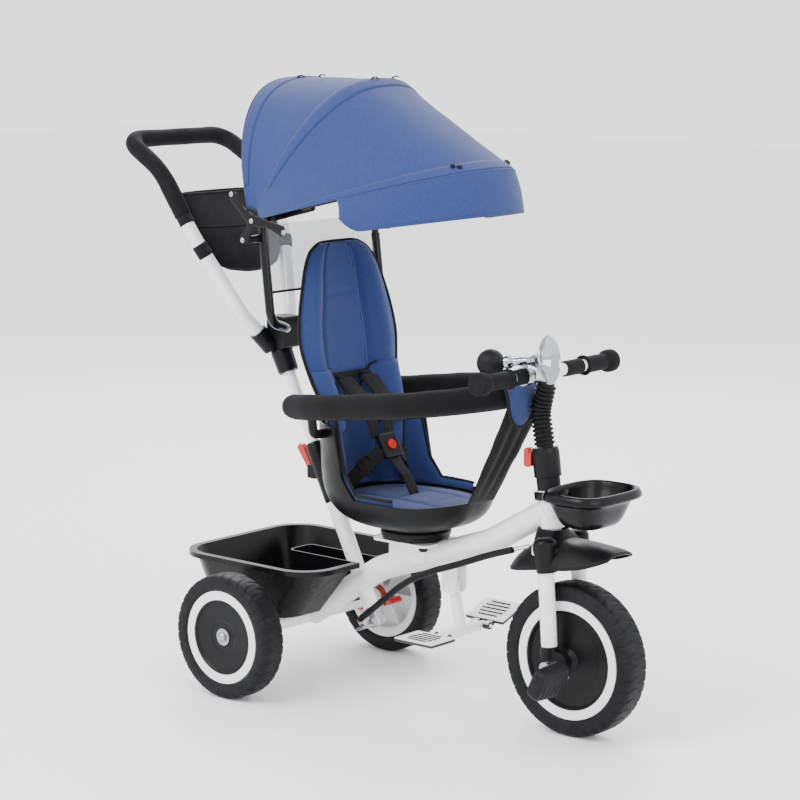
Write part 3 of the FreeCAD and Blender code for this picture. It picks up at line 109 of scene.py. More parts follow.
# ---------------------------------------------------------------- materials
class Shader:
    """A procedural material with colour variation, roughness variation and relief."""

    def __init__(self, name, colour, rough, metal=0.0, **sockets):
        self.material = bpy.data.materials.new(name)
        self.material.use_nodes = True
        self.tree = self.material.node_tree
        self.base = self.tree.nodes["Principled BSDF"]
        self.set(self.base, "Base Color", (*colour, 1))
        self.set(self.base, "Roughness", rough)
        self.set(self.base, "Metallic", metal)
        for key, value in sockets.items():
            self.set(self.base, key.replace("_", " "), value)
        if max(colour) < 0.02:
            self.set(self.base, "Specular IOR Level", 0.16)
        self.coords = self.tree.nodes.new("ShaderNodeTexCoord")

    def set(self, node, socket, value):
        node.inputs[socket].default_value = value

    def link(self, source, target):
        self.tree.links.new(source, target)

    def place(self, uv=False, stretch=(1, 1, 1), turn=0.0):
        mapping = self.tree.nodes.new("ShaderNodeMapping")
        mapping.inputs["Scale"].default_value = stretch
        mapping.inputs["Rotation"].default_value = (0, 0, turn)
        self.link(self.coords.outputs["UV" if uv else "Object"], mapping.inputs["Vector"])
        return mapping.outputs["Vector"]

    def noise(self, scale, detail=3.0, **where):
        node = self.tree.nodes.new("ShaderNodeTexNoise")
        node.inputs["Scale"].default_value = scale
        node.inputs["Detail"].default_value = detail
        self.link(self.place(**where), node.inputs["Vector"])
        return node.outputs["Fac"]

    def cells(self, scale, **where):
        node = self.tree.nodes.new("ShaderNodeTexVoronoi")
        node.inputs["Scale"].default_value = scale
        self.link(self.place(**where), node.inputs["Vector"])
        return node.outputs["Distance"]

    def wave(self, scale, direction="X", **where):
        node = self.tree.nodes.new("ShaderNodeTexWave")
        node.bands_direction = direction
        node.inputs["Scale"].default_value = scale
        self.link(self.place(**where), node.inputs["Vector"])
        return node.outputs["Fac"]

    def math(self, kind, a, b):
        node = self.tree.nodes.new("ShaderNodeMath")
        node.operation = kind
        for socket, value in zip(node.inputs, (a, b)):
            if isinstance(value, (int, float)):
                socket.default_value = value
            else:
                self.link(value, socket)
        return node.outputs[0]

    def range(self, value, low, high):
        node = self.tree.nodes.new("ShaderNodeMapRange")
        node.inputs["From Min"].default_value = 0.3
        node.inputs["From Max"].default_value = 0.7
        node.inputs["To Min"].default_value = low
        node.inputs["To Max"].default_value = high
        self.link(value, node.inputs["Value"])
        return node.outputs["Result"]

    def tint(self, value, dark, light):
        ramp = self.tree.nodes.new("ShaderNodeValToRGB")
        ramp.color_ramp.elements[0].position = 0.3
        ramp.color_ramp.elements[0].color = (*dark, 1)
        ramp.color_ramp.elements[1].position = 0.7
        ramp.color_ramp.elements[1].color = (*light, 1)
        self.link(value, ramp.inputs["Fac"])
        self.link(ramp.outputs["Color"], self.base.inputs["Base Color"])

    def rough(self, value, low, high):
        self.link(self.range(value, low, high), self.base.inputs["Roughness"])

    def relief(self, value, distance, strength=1.0):
        bump = self.tree.nodes.new("ShaderNodeBump")
        bump.inputs["Distance"].default_value = distance
        bump.inputs["Strength"].default_value = strength
        self.link(value, bump.inputs["Height"])
        self.link(bump.outputs["Normal"], self.base.inputs["Normal"])


def scaled(colour, share):
    return tuple(min(1.0, c * share) for c in colour)


def hard(name, colour, rough, grain=900.0, depth=0.00008, vary=0.06, **more):
    s = Shader(name, colour, rough, **more)
    cloud = s.noise(7.0, 4.0)
    s.tint(cloud, scaled(colour, 1 - vary), scaled(colour, 1 + vary))
    s.rough(s.noise(40.0, 5.0), max(rough - 0.06, 0.02), rough + 0.07)
    s.relief(s.noise(grain, 2.0), depth)
    return s.material


def cloth(name, dark, light, thread, depth, turn=0.0, sheen=0.05):
    """Plain weave of two thread directions, flecked with lighter and darker yarn."""
    s = Shader(name, dark, 0.85, Sheen_Weight=sheen, Sheen_Roughness=0.5)
    step = 1.0 / thread
    warp = s.wave(step * 0.32, "X", uv=True, turn=turn)
    weft = s.wave(step * 0.32, "Y", uv=True, turn=turn)
    weave = s.math("MULTIPLY", warp, weft)
    along = s.noise(1.0, 3.0, uv=True, stretch=(step * 0.9, step * 0.16, 60), turn=turn)
    across = s.noise(1.0, 3.0, uv=True, stretch=(step * 0.16, step * 0.9, 60), turn=turn)
    fleck = s.math("MULTIPLY_ADD", along, 0.5)
    s.link(s.math("MULTIPLY", across, 0.5), fleck.node.inputs[2])
    s.tint(fleck, dark, light)
    s.relief(s.math("ADD", weave, s.math("MULTIPLY", fleck, 0.6)), depth)
    return s.material


BLUE_DARK = (0.004, 0.013, 0.085)
BLUE_LIGHT = (0.012, 0.036, 0.165)
BLACK = (0.004, 0.004, 0.0045)


def foam(name, cell):
    s = Shader(name, BLACK, 0.9, Sheen_Weight=0.04)
    a = s.wave(1.0 / cell * 0.32, "DIAGONAL", uv=True)
    b = s.wave(1.0 / cell * 0.32, "DIAGONAL", uv=True, stretch=(-1, 1, 1))
    both = s.math("MULTIPLY", a, b)
    s.tint(both, (0.002, 0.002, 0.0025), (0.008, 0.008, 0.009))
    s.relief(both, 0.0004)
    return s.material


def grain(name, colour, rough, size, depth, light=2.2):
    """Pitted rubber or foam skin."""
    s = Shader(name, colour, rough)
    dots = s.cells(1.0 / size)
    s.tint(s.noise(90.0, 4.0), colour, scaled(colour, light))
    s.relief(dots, depth)
    s.rough(s.noise(25.0), rough - 0.08, rough + 0.08)
    return s.material


def net(name):
    s = Shader(name, (0.86, 0.87, 0.88), 0.7, Alpha=0.42)
    holes = s.math("MULTIPLY", s.wave(160.0, "X", uv=True), s.wave(160.0, "Y", uv=True))
    s.tint(holes, (0.30, 0.31, 0.33), (0.88, 0.88, 0.89))
    s.relief(holes, 0.0005)
    return s.material


def two_tone(name):
    """White tread face with black sides and underside."""
    s = Shader(name, (0.8, 0.8, 0.79), 0.36)
    split = s.tree.nodes.new("ShaderNodeSeparateXYZ")
    s.link(s.coords.outputs["Normal"], split.inputs["Vector"])
    s.tint(split.outputs["Z"], (0.004, 0.004, 0.0045), (0.74, 0.74, 0.73))
    s.relief(s.noise(1200.0, 2.0), 0.00008)
    return s.material


def make_materials():
    brushed = Shader("zinc_steel", (0.34, 0.34, 0.36), 0.30, 1.0)
    brushed.relief(brushed.noise(1.0, 2.0, stretch=(900, 60, 900)), 0.00006)
    brushed.rough(brushed.noise(60.0), 0.26, 0.42)
    chrome = Shader("chrome", (0.36, 0.37, 0.40), 0.06, 1.0)
    chrome.rough(chrome.noise(30.0), 0.03, 0.09)
    return {
        "white_steel": hard("white_paint", (0.83, 0.83, 0.83), 0.22, 260.0, 0.00006, 0.015,
                            Coat_Weight=0.5, Coat_Roughness=0.12),
        "black_plastic": hard("satin_black", (0.004, 0.004, 0.0045), 0.40, 1400.0, 0.0001, 0.25),
        "gloss_black": hard("gloss_black", (0.003, 0.003, 0.0035), 0.24, 1100.0, 0.00005, 0.25),
        "white_plastic": hard("white_plastic", (0.80, 0.80, 0.79), 0.38, 1200.0, 0.00006, 0.02),
        "eva_tyre": grain("eva_foam", (0.0035, 0.0035, 0.004), 0.55, 0.0016, 0.00018),
        "black_rubber": grain("black_rubber", (0.003, 0.003, 0.0035), 0.5, 0.0011, 0.00015),
        "zinc_steel": brushed.material,
        "black_steel": hard("black_paint", (0.003, 0.003, 0.0035), 0.22, 500.0, 0.00005, 0.2, Coat_Weight=0.12),
        "chrome": chrome.material,
        "red_plastic": hard("red_plastic", (0.42, 0.004, 0.004), 0.26, 1000.0, 0.00005, 0.08),
        "red_steel": hard("red_paint", (0.36, 0.004, 0.004), 0.25, 400.0, 0.00005, 0.08, Coat_Weight=0.4),
        "blue_fabric": cloth("blue_melange", BLUE_DARK, BLUE_LIGHT, 0.0011, 0.0002, sheen=0.1),
        "black_fabric": cloth("black_weave", (0.0025, 0.0025, 0.003), (0.009, 0.009, 0.010), 0.0014, 0.0003),
        "black_knit": foam("black_knit", 0.0026),
        "webbing": cloth("webbing", (0.002, 0.002, 0.0025), (0.010, 0.010, 0.011), 0.0022, 0.0005, 0.78),
        "white_mesh": net("white_net"),
        "thread_blue": hard("blue_thread", (0.03, 0.07, 0.22), 0.7),
        "thread_black": hard("black_thread", (0.006, 0.006, 0.007), 0.7),
        "foot_plate": two_tone("foot_plate_plastic"),
        "grip_foam_solid": grain("grip_foam_solid", (0.003, 0.003, 0.0035), 0.8, 0.0019, 0.0003, 1.8),
    }


# ---------------------------------------------------------------- mesh helpers
def finish_mesh(name, verts, faces, uvs, body, finish, replaces=()):
    """A piece from points and faces; finish is a slot, or "slot:material" where the two differ."""
    slot, _, material = finish.partition(":")
    mesh = bpy.data.meshes.new(name)
    mesh.from_pydata([tuple(v) for v in verts], [], faces)
    if uvs:
        layer = mesh.uv_layers.new(name="UVMap")
        for polygon in mesh.polygons:
            for loop in polygon.loop_indices:
                layer.data[loop].uv = uvs[mesh.loops[loop].vertex_index]
    mesh.validate()
    for polygon in mesh.polygons:
        polygon.use_smooth = True
    mesh.materials.append(PAINT[material or slot])
    piece = bpy.data.objects.new(name, mesh)
    bpy.context.scene.collection.objects.link(piece)
    if body:
        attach(piece, body)
    if replaces:
        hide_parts(*replaces)
    return piece


def apply_modifiers(piece):
    graph = bpy.context.evaluated_depsgraph_get()
    graph.update()
    mesh = bpy.data.meshes.new_from_object(piece.evaluated_get(graph))
    piece.modifiers.clear()
    old = piece.data
    piece.data = mesh
    mesh.name = piece.name
    bpy.data.meshes.remove(old)
    return piece


def smooth(piece, levels=1):
    modifier = piece.modifiers.new("smooth", "SUBSURF")
    modifier.levels = levels
    modifier.render_levels = levels
    return apply_modifiers(piece)


def thicken(piece, depth, offset=-1.0):
    modifier = piece.modifiers.new("thick", "SOLIDIFY")
    modifier.thickness = depth
    modifier.offset = offset
    return apply_modifiers(piece)


def grid(name, rows, body, finish, around=False, ends=False, replaces=()):
    """Skin over rows of points; around closes each row and ends caps the first and last."""
    count = len(rows[0])
    verts, uvs, faces = [], [], []
    down = [0.0] * count
    for i, row in enumerate(rows):
        along = 0.0
        for j, p in enumerate(row):
            if j:
                along += (p - row[j - 1]).length
            if i:
                down[j] += (p - rows[i - 1][j]).length
            verts.append(p)
            uvs.append((along, down[j]))
    last = count if around else count - 1
    for i in range(len(rows) - 1):
        for j in range(last):
            k = (j + 1) % count
            faces.append((i * count + j, i * count + k, (i + 1) * count + k, (i + 1) * count + j))
    if ends:
        for i in (0, len(rows) - 1):
            centre = sum(rows[i], Vector()) / count
            verts.append(centre)
            uvs.append(uvs[i * count])
            hub = len(verts) - 1
            for j in range(count):
                k = (j + 1) % count
                ring = (i * count + j, i * count + k)
                faces.append((ring[1], ring[0], hub) if i == 0 else (ring[0], ring[1], hub))
    return finish_mesh(name, verts, faces, uvs, body, finish, replaces)


def rounded(points, bends, step=0.006):
    """Straight runs joined by tangent arcs, sampled evenly."""
    path = [points[0]]
    for i in range(1, len(points) - 1):
        into = (points[i] - points[i - 1]).normalized()
        out = (points[i + 1] - points[i]).normalized()
        turn = into.angle(out)
        if turn < 1e-4:
            continue
        back = bends[i - 1] * math.tan(turn / 2)
        start = points[i] - into * back
        normal = (out - into).normalized()
        centre = points[i] + normal * (bends[i - 1] / math.cos(turn / 2))
        arm = start - centre
        axis = into.cross(out).normalized()
        parts = max(3, int(bends[i - 1] * turn / step))
        for k in range(parts + 1):
            path.append(centre + Matrix.Rotation(turn * k / parts, 3, axis) @ arm)
    path.append(points[-1])
    even = [path[0]]
    for a, b in zip(path, path[1:]):
        parts = max(1, int((b - a).length / step))
        for k in range(1, parts + 1):
            even.append(a.lerp(b, k / parts))
    return even


def frames(path, start=None):
    """Path points with two steady directions square to the path."""
    first = (path[1] - path[0]).normalized()
    side = start or (UP.cross(first) if abs(first.z) < 0.9 else LEFT.cross(first))
    side = (side - first * side.dot(first)).normalized()
    out = []
    for i, p in enumerate(path):
        a = path[max(i - 1, 0)]
        b = path[min(i + 1, len(path) - 1)]
        along = (b - a).normalized()
        side = (side - along * side.dot(along)).normalized()
        out.append((p, side, along.cross(side)))
    return out


def tube(name, path, radius, body, finish, sides=20, replaces=(), start=None, flat=1.0):
    """Swept round bar; radius is a number or a function of length, share and angle."""
    rows = []
    total = sum((b - a).length for a, b in zip(path, path[1:]))
    length = 0.0
    previous = path[0]
    for p, side, up in frames(path, start):
        length += (p - previous).length
        previous = p
        row = []
        for angle in turns_of(sides):
            r = radius(length, length / total, angle) if callable(radius) else radius
            row.append(p + side * math.cos(angle) * r + up * math.sin(angle) * r * flat)
        rows.append(row)
    return grid(name, rows, body, finish, True, True, replaces)


def loop_tube(name, path, radius, body, finish, sides=8):
    """Swept closed loop, such as piping round a panel."""
    verts, uvs, faces = [], [], []
    count = len(path)
    side = None
    for i, p in enumerate(path):
        along = (path[(i + 1) % count] - path[i - 1]).normalized()
        side = side or (UP.cross(along) if abs(along.z) < 0.9 else LEFT.cross(along))
        side = (side - along * side.dot(along)).normalized()
        up = along.cross(side)
        for j in range(sides):
            angle = 2 * math.pi * j / sides
            verts.append(p + (side * math.cos(angle) + up * math.sin(angle)) * radius)
            uvs.append((j * radius, i * 0.004))
    for i in range(count):
        for j in range(sides):
            a, b = i * sides + j, i * sides + (j + 1) % sides
            c, d = ((i + 1) % count) * sides + (j + 1) % sides, ((i + 1) % count) * sides + j
            faces.append((a, b, c, d))
    return finish_mesh(name, verts, faces, uvs, body, finish)


def dashes(name, path, body, finish, size=0.0005, length=0.0036, gap=0.0020):
    """A row of stitches: short raised threads along a path."""
    even = []
    travelled = 0.0
    for a, b in zip(path, path[1:]):
        run = (b - a).length
        while travelled < run:
            even.append((a.lerp(b, travelled / max(run, 1e-9)), (b - a).normalized()))
            travelled += length + gap
        travelled -= run
    verts, faces = [], []
    for p, along in even:
        side = along.cross(UP)
        side = side.normalized() if side.length > 0.05 else along.cross(LEFT).normalized()
        up = along.cross(side)
        first = len(verts)
        for shift, share in ((-0.5, 0.3), (-0.3, 1.0), (0.3, 1.0), (0.5, 0.3)):
            for angle in turns_of(5):
                verts.append(p + along * length * shift
                             + (side * math.cos(angle) + up * math.sin(angle)) * size * share)
        for ring in range(3):
            for j in range(5):
                k = (j + 1) % 5
                base = first + ring * 5
                faces.append((base + j, base + k, base + 5 + k, base + 5 + j))
        faces.append(tuple(first + j for j in range(4, -1, -1)))
        faces.append(tuple(first + 15 + j for j in range(5)))
    return finish_mesh(name, verts, faces, None, body, finish)


def turns_of(count):
    """Evenly spaced angles round a full turn."""
    return [2 * math.pi * k / count for k in range(count)]


def ease(x):
    """Smooth step from 0 to 1."""
    x = min(max(x, 0.0), 1.0)
    return x * x * (3 - 2 * x)


def mix(a, b, share):
    return a + (b - a) * share


def table_value(levels, z, column):
    """Reads one column of height levels, straight from level to level."""
    for low, high in zip(levels, levels[1:]):
        if z <= high[0]:
            return mix(low[column], high[column], (z - low[0]) / (high[0] - low[0]))
    return levels[-1][column]


def smooth_value(levels, z, column):
    """As table_value, with a smooth curve through the levels."""
    for i, (low, high) in enumerate(zip(levels, levels[1:])):
        if z <= high[0] or i == len(levels) - 2:
            before, after = levels[max(i - 1, 0)], levels[min(i + 2, len(levels) - 1)]
            width = high[0] - low[0]
            t = min(max((z - low[0]) / width, 0.0), 1.0)
            rise = (high[column] - before[column]) / (high[0] - before[0]) * width
            fall = (after[column] - low[column]) / (after[0] - low[0]) * width
            return ((2 * t ** 3 - 3 * t ** 2 + 1) * low[column] + (t ** 3 - 2 * t ** 2 + t) * rise
                    + (3 * t ** 2 - 2 * t ** 3) * high[column] + (t ** 3 - t ** 2) * fall)


def oval(mid, reach, half, z, count):
    """A level outline with squared-off ends, in millimetres."""
    return [at(mid + reach * power(math.cos(a), 0.62), half * power(math.sin(a), 0.62), z)
            for a in turns_of(count)]


def power(x, exponent):
    """A power that keeps the sign."""
    return math.copysign(abs(x) ** exponent, x)


def wobble(p, scale, depth, seed=0.0):
    return noise.noise(p * scale + Vector((seed, seed * 1.7, seed * 0.3))) * depth


# ---------------------------------------------------------------- foam tyres
FRONT_AXLE_X, FRONT_AXLE_Z = 591.0, 130.0
REAR_AXLE_Z = 110.0
REAR_TRACK_HALF = 215.0


def make_tyre(name, body, axle, radius, rim, width, teeth):
    """Solid foam tyre: flat sidewalls, rounded shoulders and slanted tread blocks cut into the crown."""
    half = width / 2
    middle, height = (radius + rim) / 2, (radius - rim) / 2
    around, across = teeth * 14, 60
    rows = []
    for i in range(around):
        turn = 2 * math.pi * i / around
        row = []
        for t in turns_of(across):
            y = power(math.cos(t), 2 / 4.6) * half
            r = middle + power(math.sin(t), 2 / 3.4) * height
            side = y / half
            crown = ease((r - (radius - 0.013)) / 0.006)
            phase = (i / around * teeth + 0.75 * abs(side) + (0.5 if side > 0 else 0.0)) % 1.0
            edge = min(phase, 1 - phase)
            block = 1 - ease((edge - 0.03) / 0.07)
            shoulder = ease((abs(side) - 0.24) / 0.08)
            centre = 1 - ease((abs(abs(side) - 0.20) - 0.020) / 0.03)
            groove = max(block * shoulder, centre * 0.7) * crown
            r -= 0.0019 * groove
            y -= math.copysign(0.0014 * groove * ease((abs(side) - 0.8) / 0.15), y)
            row.append(axle + Vector((math.cos(turn) * r, y, math.sin(turn) * r)))
        rows.append(row)
    rows.append([p.copy() for p in rows[0]])
    return grid(name + "_treaded", rows, body, "eva_tyre", True, False, (name,))


def make_wheels():
    for side, y in (("left", REAR_TRACK_HALF), ("right", -REAR_TRACK_HALF)):
        make_tyre("rear_tyre_" + side, "rear_wheel_" + side, at(0, y, REAR_AXLE_Z), 0.110, 0.0800, 0.051, 34)
    make_tyre("front_tyre", "front_wheel", at(FRONT_AXLE_X, 0, FRONT_AXLE_Z), 0.130, 0.0980, 0.055, 40)


# ---------------------------------------------------------------- canopy
HUB = (30.0, 835.0)         # hinge line of the hoops
HOOPS = ((106.0, 186.0, 248.0, 2.4), (61.0, 182.0, 274.0, 2.4), (14.0, 190.0, 400.0, 2.2))


def hoop_point(hoop, t, lift=0.0):
    angle, half, reach, full = hoop
    c = max(math.cos(t), 0.0) ** (2 / full)
    along = max((reach + lift) * c, 22.0 + lift)
    lean = math.radians(angle)
    return at(HUB[0] + math.cos(lean) * along, (half + lift) * power(math.sin(t), 2 / full),
              HUB[1] + math.sin(lean) * along)


def hood_point(v, t, lift=0.0):
    """A place on the canopy: v runs from the rear hoop (0) over the middle hoop (1) to the front one (2)."""
    low = min(int(v), 1)
    share = v - low
    place = hoop_point(HOOPS[low], t, lift).lerp(hoop_point(HOOPS[low + 1], t, lift), share)
    centre = at(HUB[0], 0, HUB[1])
    sink = math.sin(math.pi * share) * (0.012 if low == 0 else 0.006)
    return place + (centre - place) * sink * (0.4 + 0.6 * abs(math.sin(t)))


def hood_row(v, count, reach=0.0):
    """reach trims the ends of the row, so that bands stop short of the hinge."""
    limit = math.pi / 2 - reach
    return [hood_point(v, mix(-limit, limit, j / count)) for j in range(count + 1)]


def fold_with_hood(piece):
    """Bakes the piece's placement into its mesh, without tying it to any hoop."""
    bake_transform(piece)


def hood_wrinkles(row, v):
    out = []
    ease_in = math.sin(math.pi * (v % 1.0)) if v < 2 else 0.0
    for p in row:
        ripple = wobble(p, 9.0, 0.0035, 3.0) + wobble(p, 26.0, 0.0010, 8.0)
        direction = (p - at(HUB[0], 0, HUB[1])).normalized()
        out.append(p + direction * ripple * (0.25 + 0.75 * ease_in))
    return out


def make_canopy():
    rows = []
    steps = 56
    for i in range(steps + 1):
        v = 2.0 * i / steps
        rows.append(hood_wrinkles(hood_row(v, 84), v))
    hood = grid("canopy_cloth", rows, None, "blue_fabric", False, False,
                ("canopy_rear_fabric", "canopy_front_fabric"))
    thicken(hood, 0.0012)
    fold_with_hood(hood)
    centre = at(HUB[0], 0, HUB[1])
    for name, v_low, v_high in (("rear", 0.02, 0.17), ("middle", 0.93, 1.08), ("front", 1.90, 1.985)):
        band_rows = []
        for i in range(9):
            v = mix(v_low, v_high, i / 8)
            lift = 1.9 if 0 < i < 8 else 0.7
            row = hood_wrinkles(hood_row(v, 84, 0.20), v)
            band_rows.append([p + (p - centre).normalized() * lift / 1000 for p in row])
        band = grid("canopy_band_" + name, band_rows, None, "blue_fabric")
        thicken(band, 0.0010)
        fold_with_hood(band)
        for edge, i in (("low", 1), ("high", 7)):
            path = [p + (p - centre).normalized() * 0.0003 for p in band_rows[i]]
            seam = dashes("canopy_stitch_" + name + "_" + edge, path, None, "blue_fabric:thread_blue")
            fold_with_hood(seam)
    tube("canopy_rear_binding", rows[0], 0.0020, "canopy_rear", "blue_fabric", 10)
    make_brim()
    for side in (-1, 1):
        for shift in (0, 15):
            place = hood_point(1.93 - shift * 0.0012, 0.30 * side + 0.04 * side * shift / 15, 4.0)
            stopper("canopy_stopper_%s_%d" % ("left" if side > 0 else "right", shift), place)
    for v, tag in ((0.16, "rear"), (1.0, "middle")):
        for side in (-1, 1):
            zip_pull("zip_pull_" + tag + ("_left" if side > 0 else "_right"), v, 0.10 * side)


def stopper(name, place):
    """Small round cord stop sewn to the front band."""
    rows = []
    for i in range(9):
        share = i / 8
        r = 0.0042 * math.sin(math.pi * mix(0.12, 0.88, share)) ** 0.5
        rise = (share - 0.5) * 0.008
        rows.append([place + Vector((math.cos(a) * r, math.sin(a) * r, rise)) for a in turns_of(14)])
    piece = grid(name, rows, None, "black_plastic", True, True)
    fold_with_hood(piece)


def zip_pull(name, v, t):
    """Slider and tab lying on the band."""
    base = hood_point(v, t, 2.8)
    out = (base - at(HUB[0], 0, HUB[1])).normalized()
    path = [base, base + out * 0.003 + LEFT * 0.004, base + out * 0.0035 + LEFT * 0.010,
            base + out * 0.001 + LEFT * 0.017]
    piece = tube(name, path, lambda l, s, a: 0.0024 - 0.0008 * s, None, "black_plastic", 10, flat=0.6)
    fold_with_hood(piece)


BRIM_BACK = 205.0


def brim_point(t, drop):
    """Skirt under the front hoop; drop runs from the top edge (0) to the hem (1)."""
    angle, half, reach, full = HOOPS[2]
    slope = math.tan(math.radians(angle))
    plan = reach * math.cos(math.radians(angle))
    grow_side, grow_front = 6 * drop, 20 * drop
    x = HUB[0] + (plan + grow_front) * max(math.cos(t), 0.0) ** (2 / full)
    y = (half + grow_side) * power(math.sin(t), 2 / full)
    top = HUB[1] + slope * (x - HUB[0])
    low = 792 + 0.155 * x
    low = mix(top, low, math.sqrt(max(ease((x - BRIM_BACK + 4) / 62), 0.0)))
    belly = 2.2 * math.sin(math.pi * drop)
    return at(x + belly, y + math.copysign(belly * 0.5, y), mix(top, low, drop))


def make_brim():
    turns = [mix(-math.pi / 2, math.pi / 2, j / 96) for j in range(97)]
    kept = [t for t in turns if brim_point(t, 0.0).x > at(BRIM_BACK, 0, 0).x]
    rows = []
    for i in range(13):
        drop = mix(0.0, 0.985, i / 12)
        row = [brim_point(t, drop) for t in kept]
        rows.append([p + (p - at(150, 0, p.z * 1000)).normalized()
                     * wobble(p, 14.0, 0.0022, 5.0) * math.sin(math.pi * drop) for p in row])
    brim = grid("canopy_brim_cloth", rows, "canopy_front", "blue_fabric", False, False,
                ("canopy_brim",))
    thicken(brim, 0.0016)
    for tag, index in (("top", 1), ("hem", 10)):
        path = [p + (p - at(150, 0, p.z * 1000)).normalized() * 0.0011 for p in rows[index]]
        dashes("brim_stitch_" + tag, path, "canopy_front", "blue_fabric:thread_blue")
    for tag, index in (("top", 0), ("hem", 12)):
        tube("brim_edge_" + tag, rows[index], 0.0021, "canopy_front", "blue_fabric", 8)


# ---------------------------------------------------------------- seat
BACK = ((357.3, 93, 82, 42, 16), (450, 82, 94, 48, 18), (490, 79, 98, 46, 18), (560, 69, 114, 28, 18),
        (633, 62, 126, 20, 18), (729, 53, 102, 16, 16), (775, 48, 76, 12, 14), (792, 48, 46, 8, 10))


def back_surface(z, share, front):
    """A place on the backrest; share runs across from -1 to 1."""
    x, half, wing, thick = (smooth_value(BACK, z, k) for k in (1, 2, 3, 4))
    y = share * half
    rear = x + wing * share * share
    if not front:
        return at(rear, y, z)
    edge = max(0.0, 1 - abs(share) ** 7) ** 0.5
    panel = half * 0.46 + 4 * math.sin((z - 400) / 60)
    seam = math.exp(-((abs(y) - panel) / 4.5) ** 2)
    bolster = math.exp(-((abs(y) - (panel + half) / 2) / 24) ** 2)
    rows = 0.0
    for level in (470, 700):
        rows = max(rows, math.exp(-((z - level) / 4.0) ** 2) * (1 if abs(y) < panel else 0.15))
    depth = thick * edge * (0.66 + 0.95 * bolster) - 7.5 * seam * edge - 2.6 * rows * edge
    crown = 2.5 * math.cos(min(abs(y) / panel, 1.0) * math.pi / 2)
    return at(rear + max(depth, 1.0) + crown * edge, y, z)


def crumple(p, depth, seed):
    return Vector((wobble(p, 16.0, depth, seed) + wobble(p, 44.0, depth * 0.4, seed + 4), 0, 0))


def make_backrest():
    levels = 110
    across = 56
    rows = []
    for i in range(levels + 1):
        z = mix(363, 789.5, i / levels)
        row = []
        for j in range(across + 1):
            share = mix(-1, 1, j / across)
            p = back_surface(z, share, True)
            row.append(p + crumple(p, 0.0022, 2.0) * (1 - abs(share) ** 4))
        for j in range(across - 1, 0, -1):
            row.append(back_surface(z, mix(-1, 1, j / across), False))
        rows.append(row)
    back = grid("seat_back_pad", rows, "seat", "blue_fabric", True, True, ("seat_back",))
    edge = []
    for i in range(levels + 1):
        z = mix(366, 788, i / levels)
        edge.append(back_surface(z, -1, False) + Vector((0.004, 0, 0)))
    top = [back_surface(789.5, s, False) + Vector((0.005, 0, 0.001)) for s in (-0.8, -0.4, 0, 0.4, 0.8)]
    other = [Vector((p.x, -p.y, p.z)) for p in reversed(edge)]
    tube("seat_back_piping", edge + top + other, 0.0029, "seat", "black_fabric", 10)
    for side, tag in ((-1, "right"), (1, "left")):
        path = []
        for i in range(levels + 1):
            z = mix(380, 782, i / levels)
            half = smooth_value(BACK, z, 2)
            panel = half * 0.46 + 4 * math.sin((z - 400) / 60)
            path.append(back_surface(z, side * panel / half, True) + Vector((0.0012, 0, 0)))
        tube("seat_seam_" + tag, path, 0.0013, "seat", "blue_fabric:thread_blue", 8)
        stitch = [p + Vector((0.0016, side * 0.0045, 0)) for p in path]
        dashes("seat_stitch_" + tag, stitch, "seat", "blue_fabric:thread_blue")
    path = [back_surface(700, mix(-0.44, 0.44, k / 20), True) + Vector((0.0010, 0, 0)) for k in range(21)]
    dashes("seat_channel_700", path, "seat", "blue_fabric:thread_blue")


PAN = ((305, 184, 304, 60), (318, 130, 342, 92), (342, 92, 372, 114), (374, 76, 382, 122), (430, 71, 384, 124),
       (492, 67, 386, 125))
PAN_WALL = 4.0


def pan_plan(z, inset, turn):
    """Rounded outline of the bucket at height z, by direction round its middle."""
    low, high, half = (table_value(PAN, z, k) for k in (1, 2, 3))
    low, high, half = low + inset, high - inset, half - inset
    c, s = math.cos(turn), math.sin(turn)
    exponent = 2.25
    mid, reach = (low + high) / 2, (high - low) / 2
    r = (abs(c / reach) ** exponent + abs(s / half) ** exponent) ** (-1 / exponent)
    return mid + r * c, r * s


def make_cushion():
    """Crowned seat cushion with a centre panel, sewn channels and a piped edge."""
    around = 96
    rings = 22
    rows = []
    for i in range(rings + 1):
        share = i / rings
        row = []
        for turn in turns_of(around):
            x, y = pan_plan(352, PAN_WALL + 2.5, turn)
            mid = (table_value(PAN, 352, 1) + table_value(PAN, 352, 2)) / 2
            px, py = mid + (x - mid) * share, y * share
            crown = (1 - share ** 5) ** 0.5
            z = 345 + 14 * crown + 2.5 * math.cos(share * math.pi / 2)
            for line in (-46, 46):
                z -= 4.5 * math.exp(-((py - line) / 4.0) ** 2) * crown
            for line in (165, 235, 305):
                z -= 2.6 * math.exp(-((px - line) / 4.0) ** 2) * crown * (1 if abs(py) < 46 else 0.2)
            p = at(px, py, z)
            row.append(p + UP * (wobble(p, 22.0, 0.0016, 6.0)) * crown)
        rows.append(row)
    under = []
    for share in (0.99, 0.95, 0.85, 0.4, 0.05):
        row = []
        for turn in turns_of(around):
            x, y = pan_plan(346, PAN_WALL + 2.5, turn)
            mid = (table_value(PAN, 346, 1) + table_value(PAN, 346, 2)) / 2
            row.append(at(mid + (x - mid) * share, y * share, 347 - 4 * (1 - share) - 2))
        under.append(row)
    cushion = grid("seat_cushion_pad", rows + under, "seat", "blue_fabric", True, False,
                   ("seat_cushion",))
    ring = [rows[rings - 1][j] + UP * 0.0005 for j in range(around)]
    loop_tube("seat_cushion_piping", ring, 0.0026, "seat", "black_fabric")


RIM = ((420, 372), (330, 362), (205, 363), (178, 400), (160, 486), (40, 486))


def rim_height(x):
    """Height of the bucket's rim at x, from its side outline."""
    for (xa, za), (xb, zb) in zip(RIM, RIM[1:]):
        if xb <= x <= xa:
            return mix(za, zb, (xa - x) / (xa - xb))
    return RIM[-1][1]


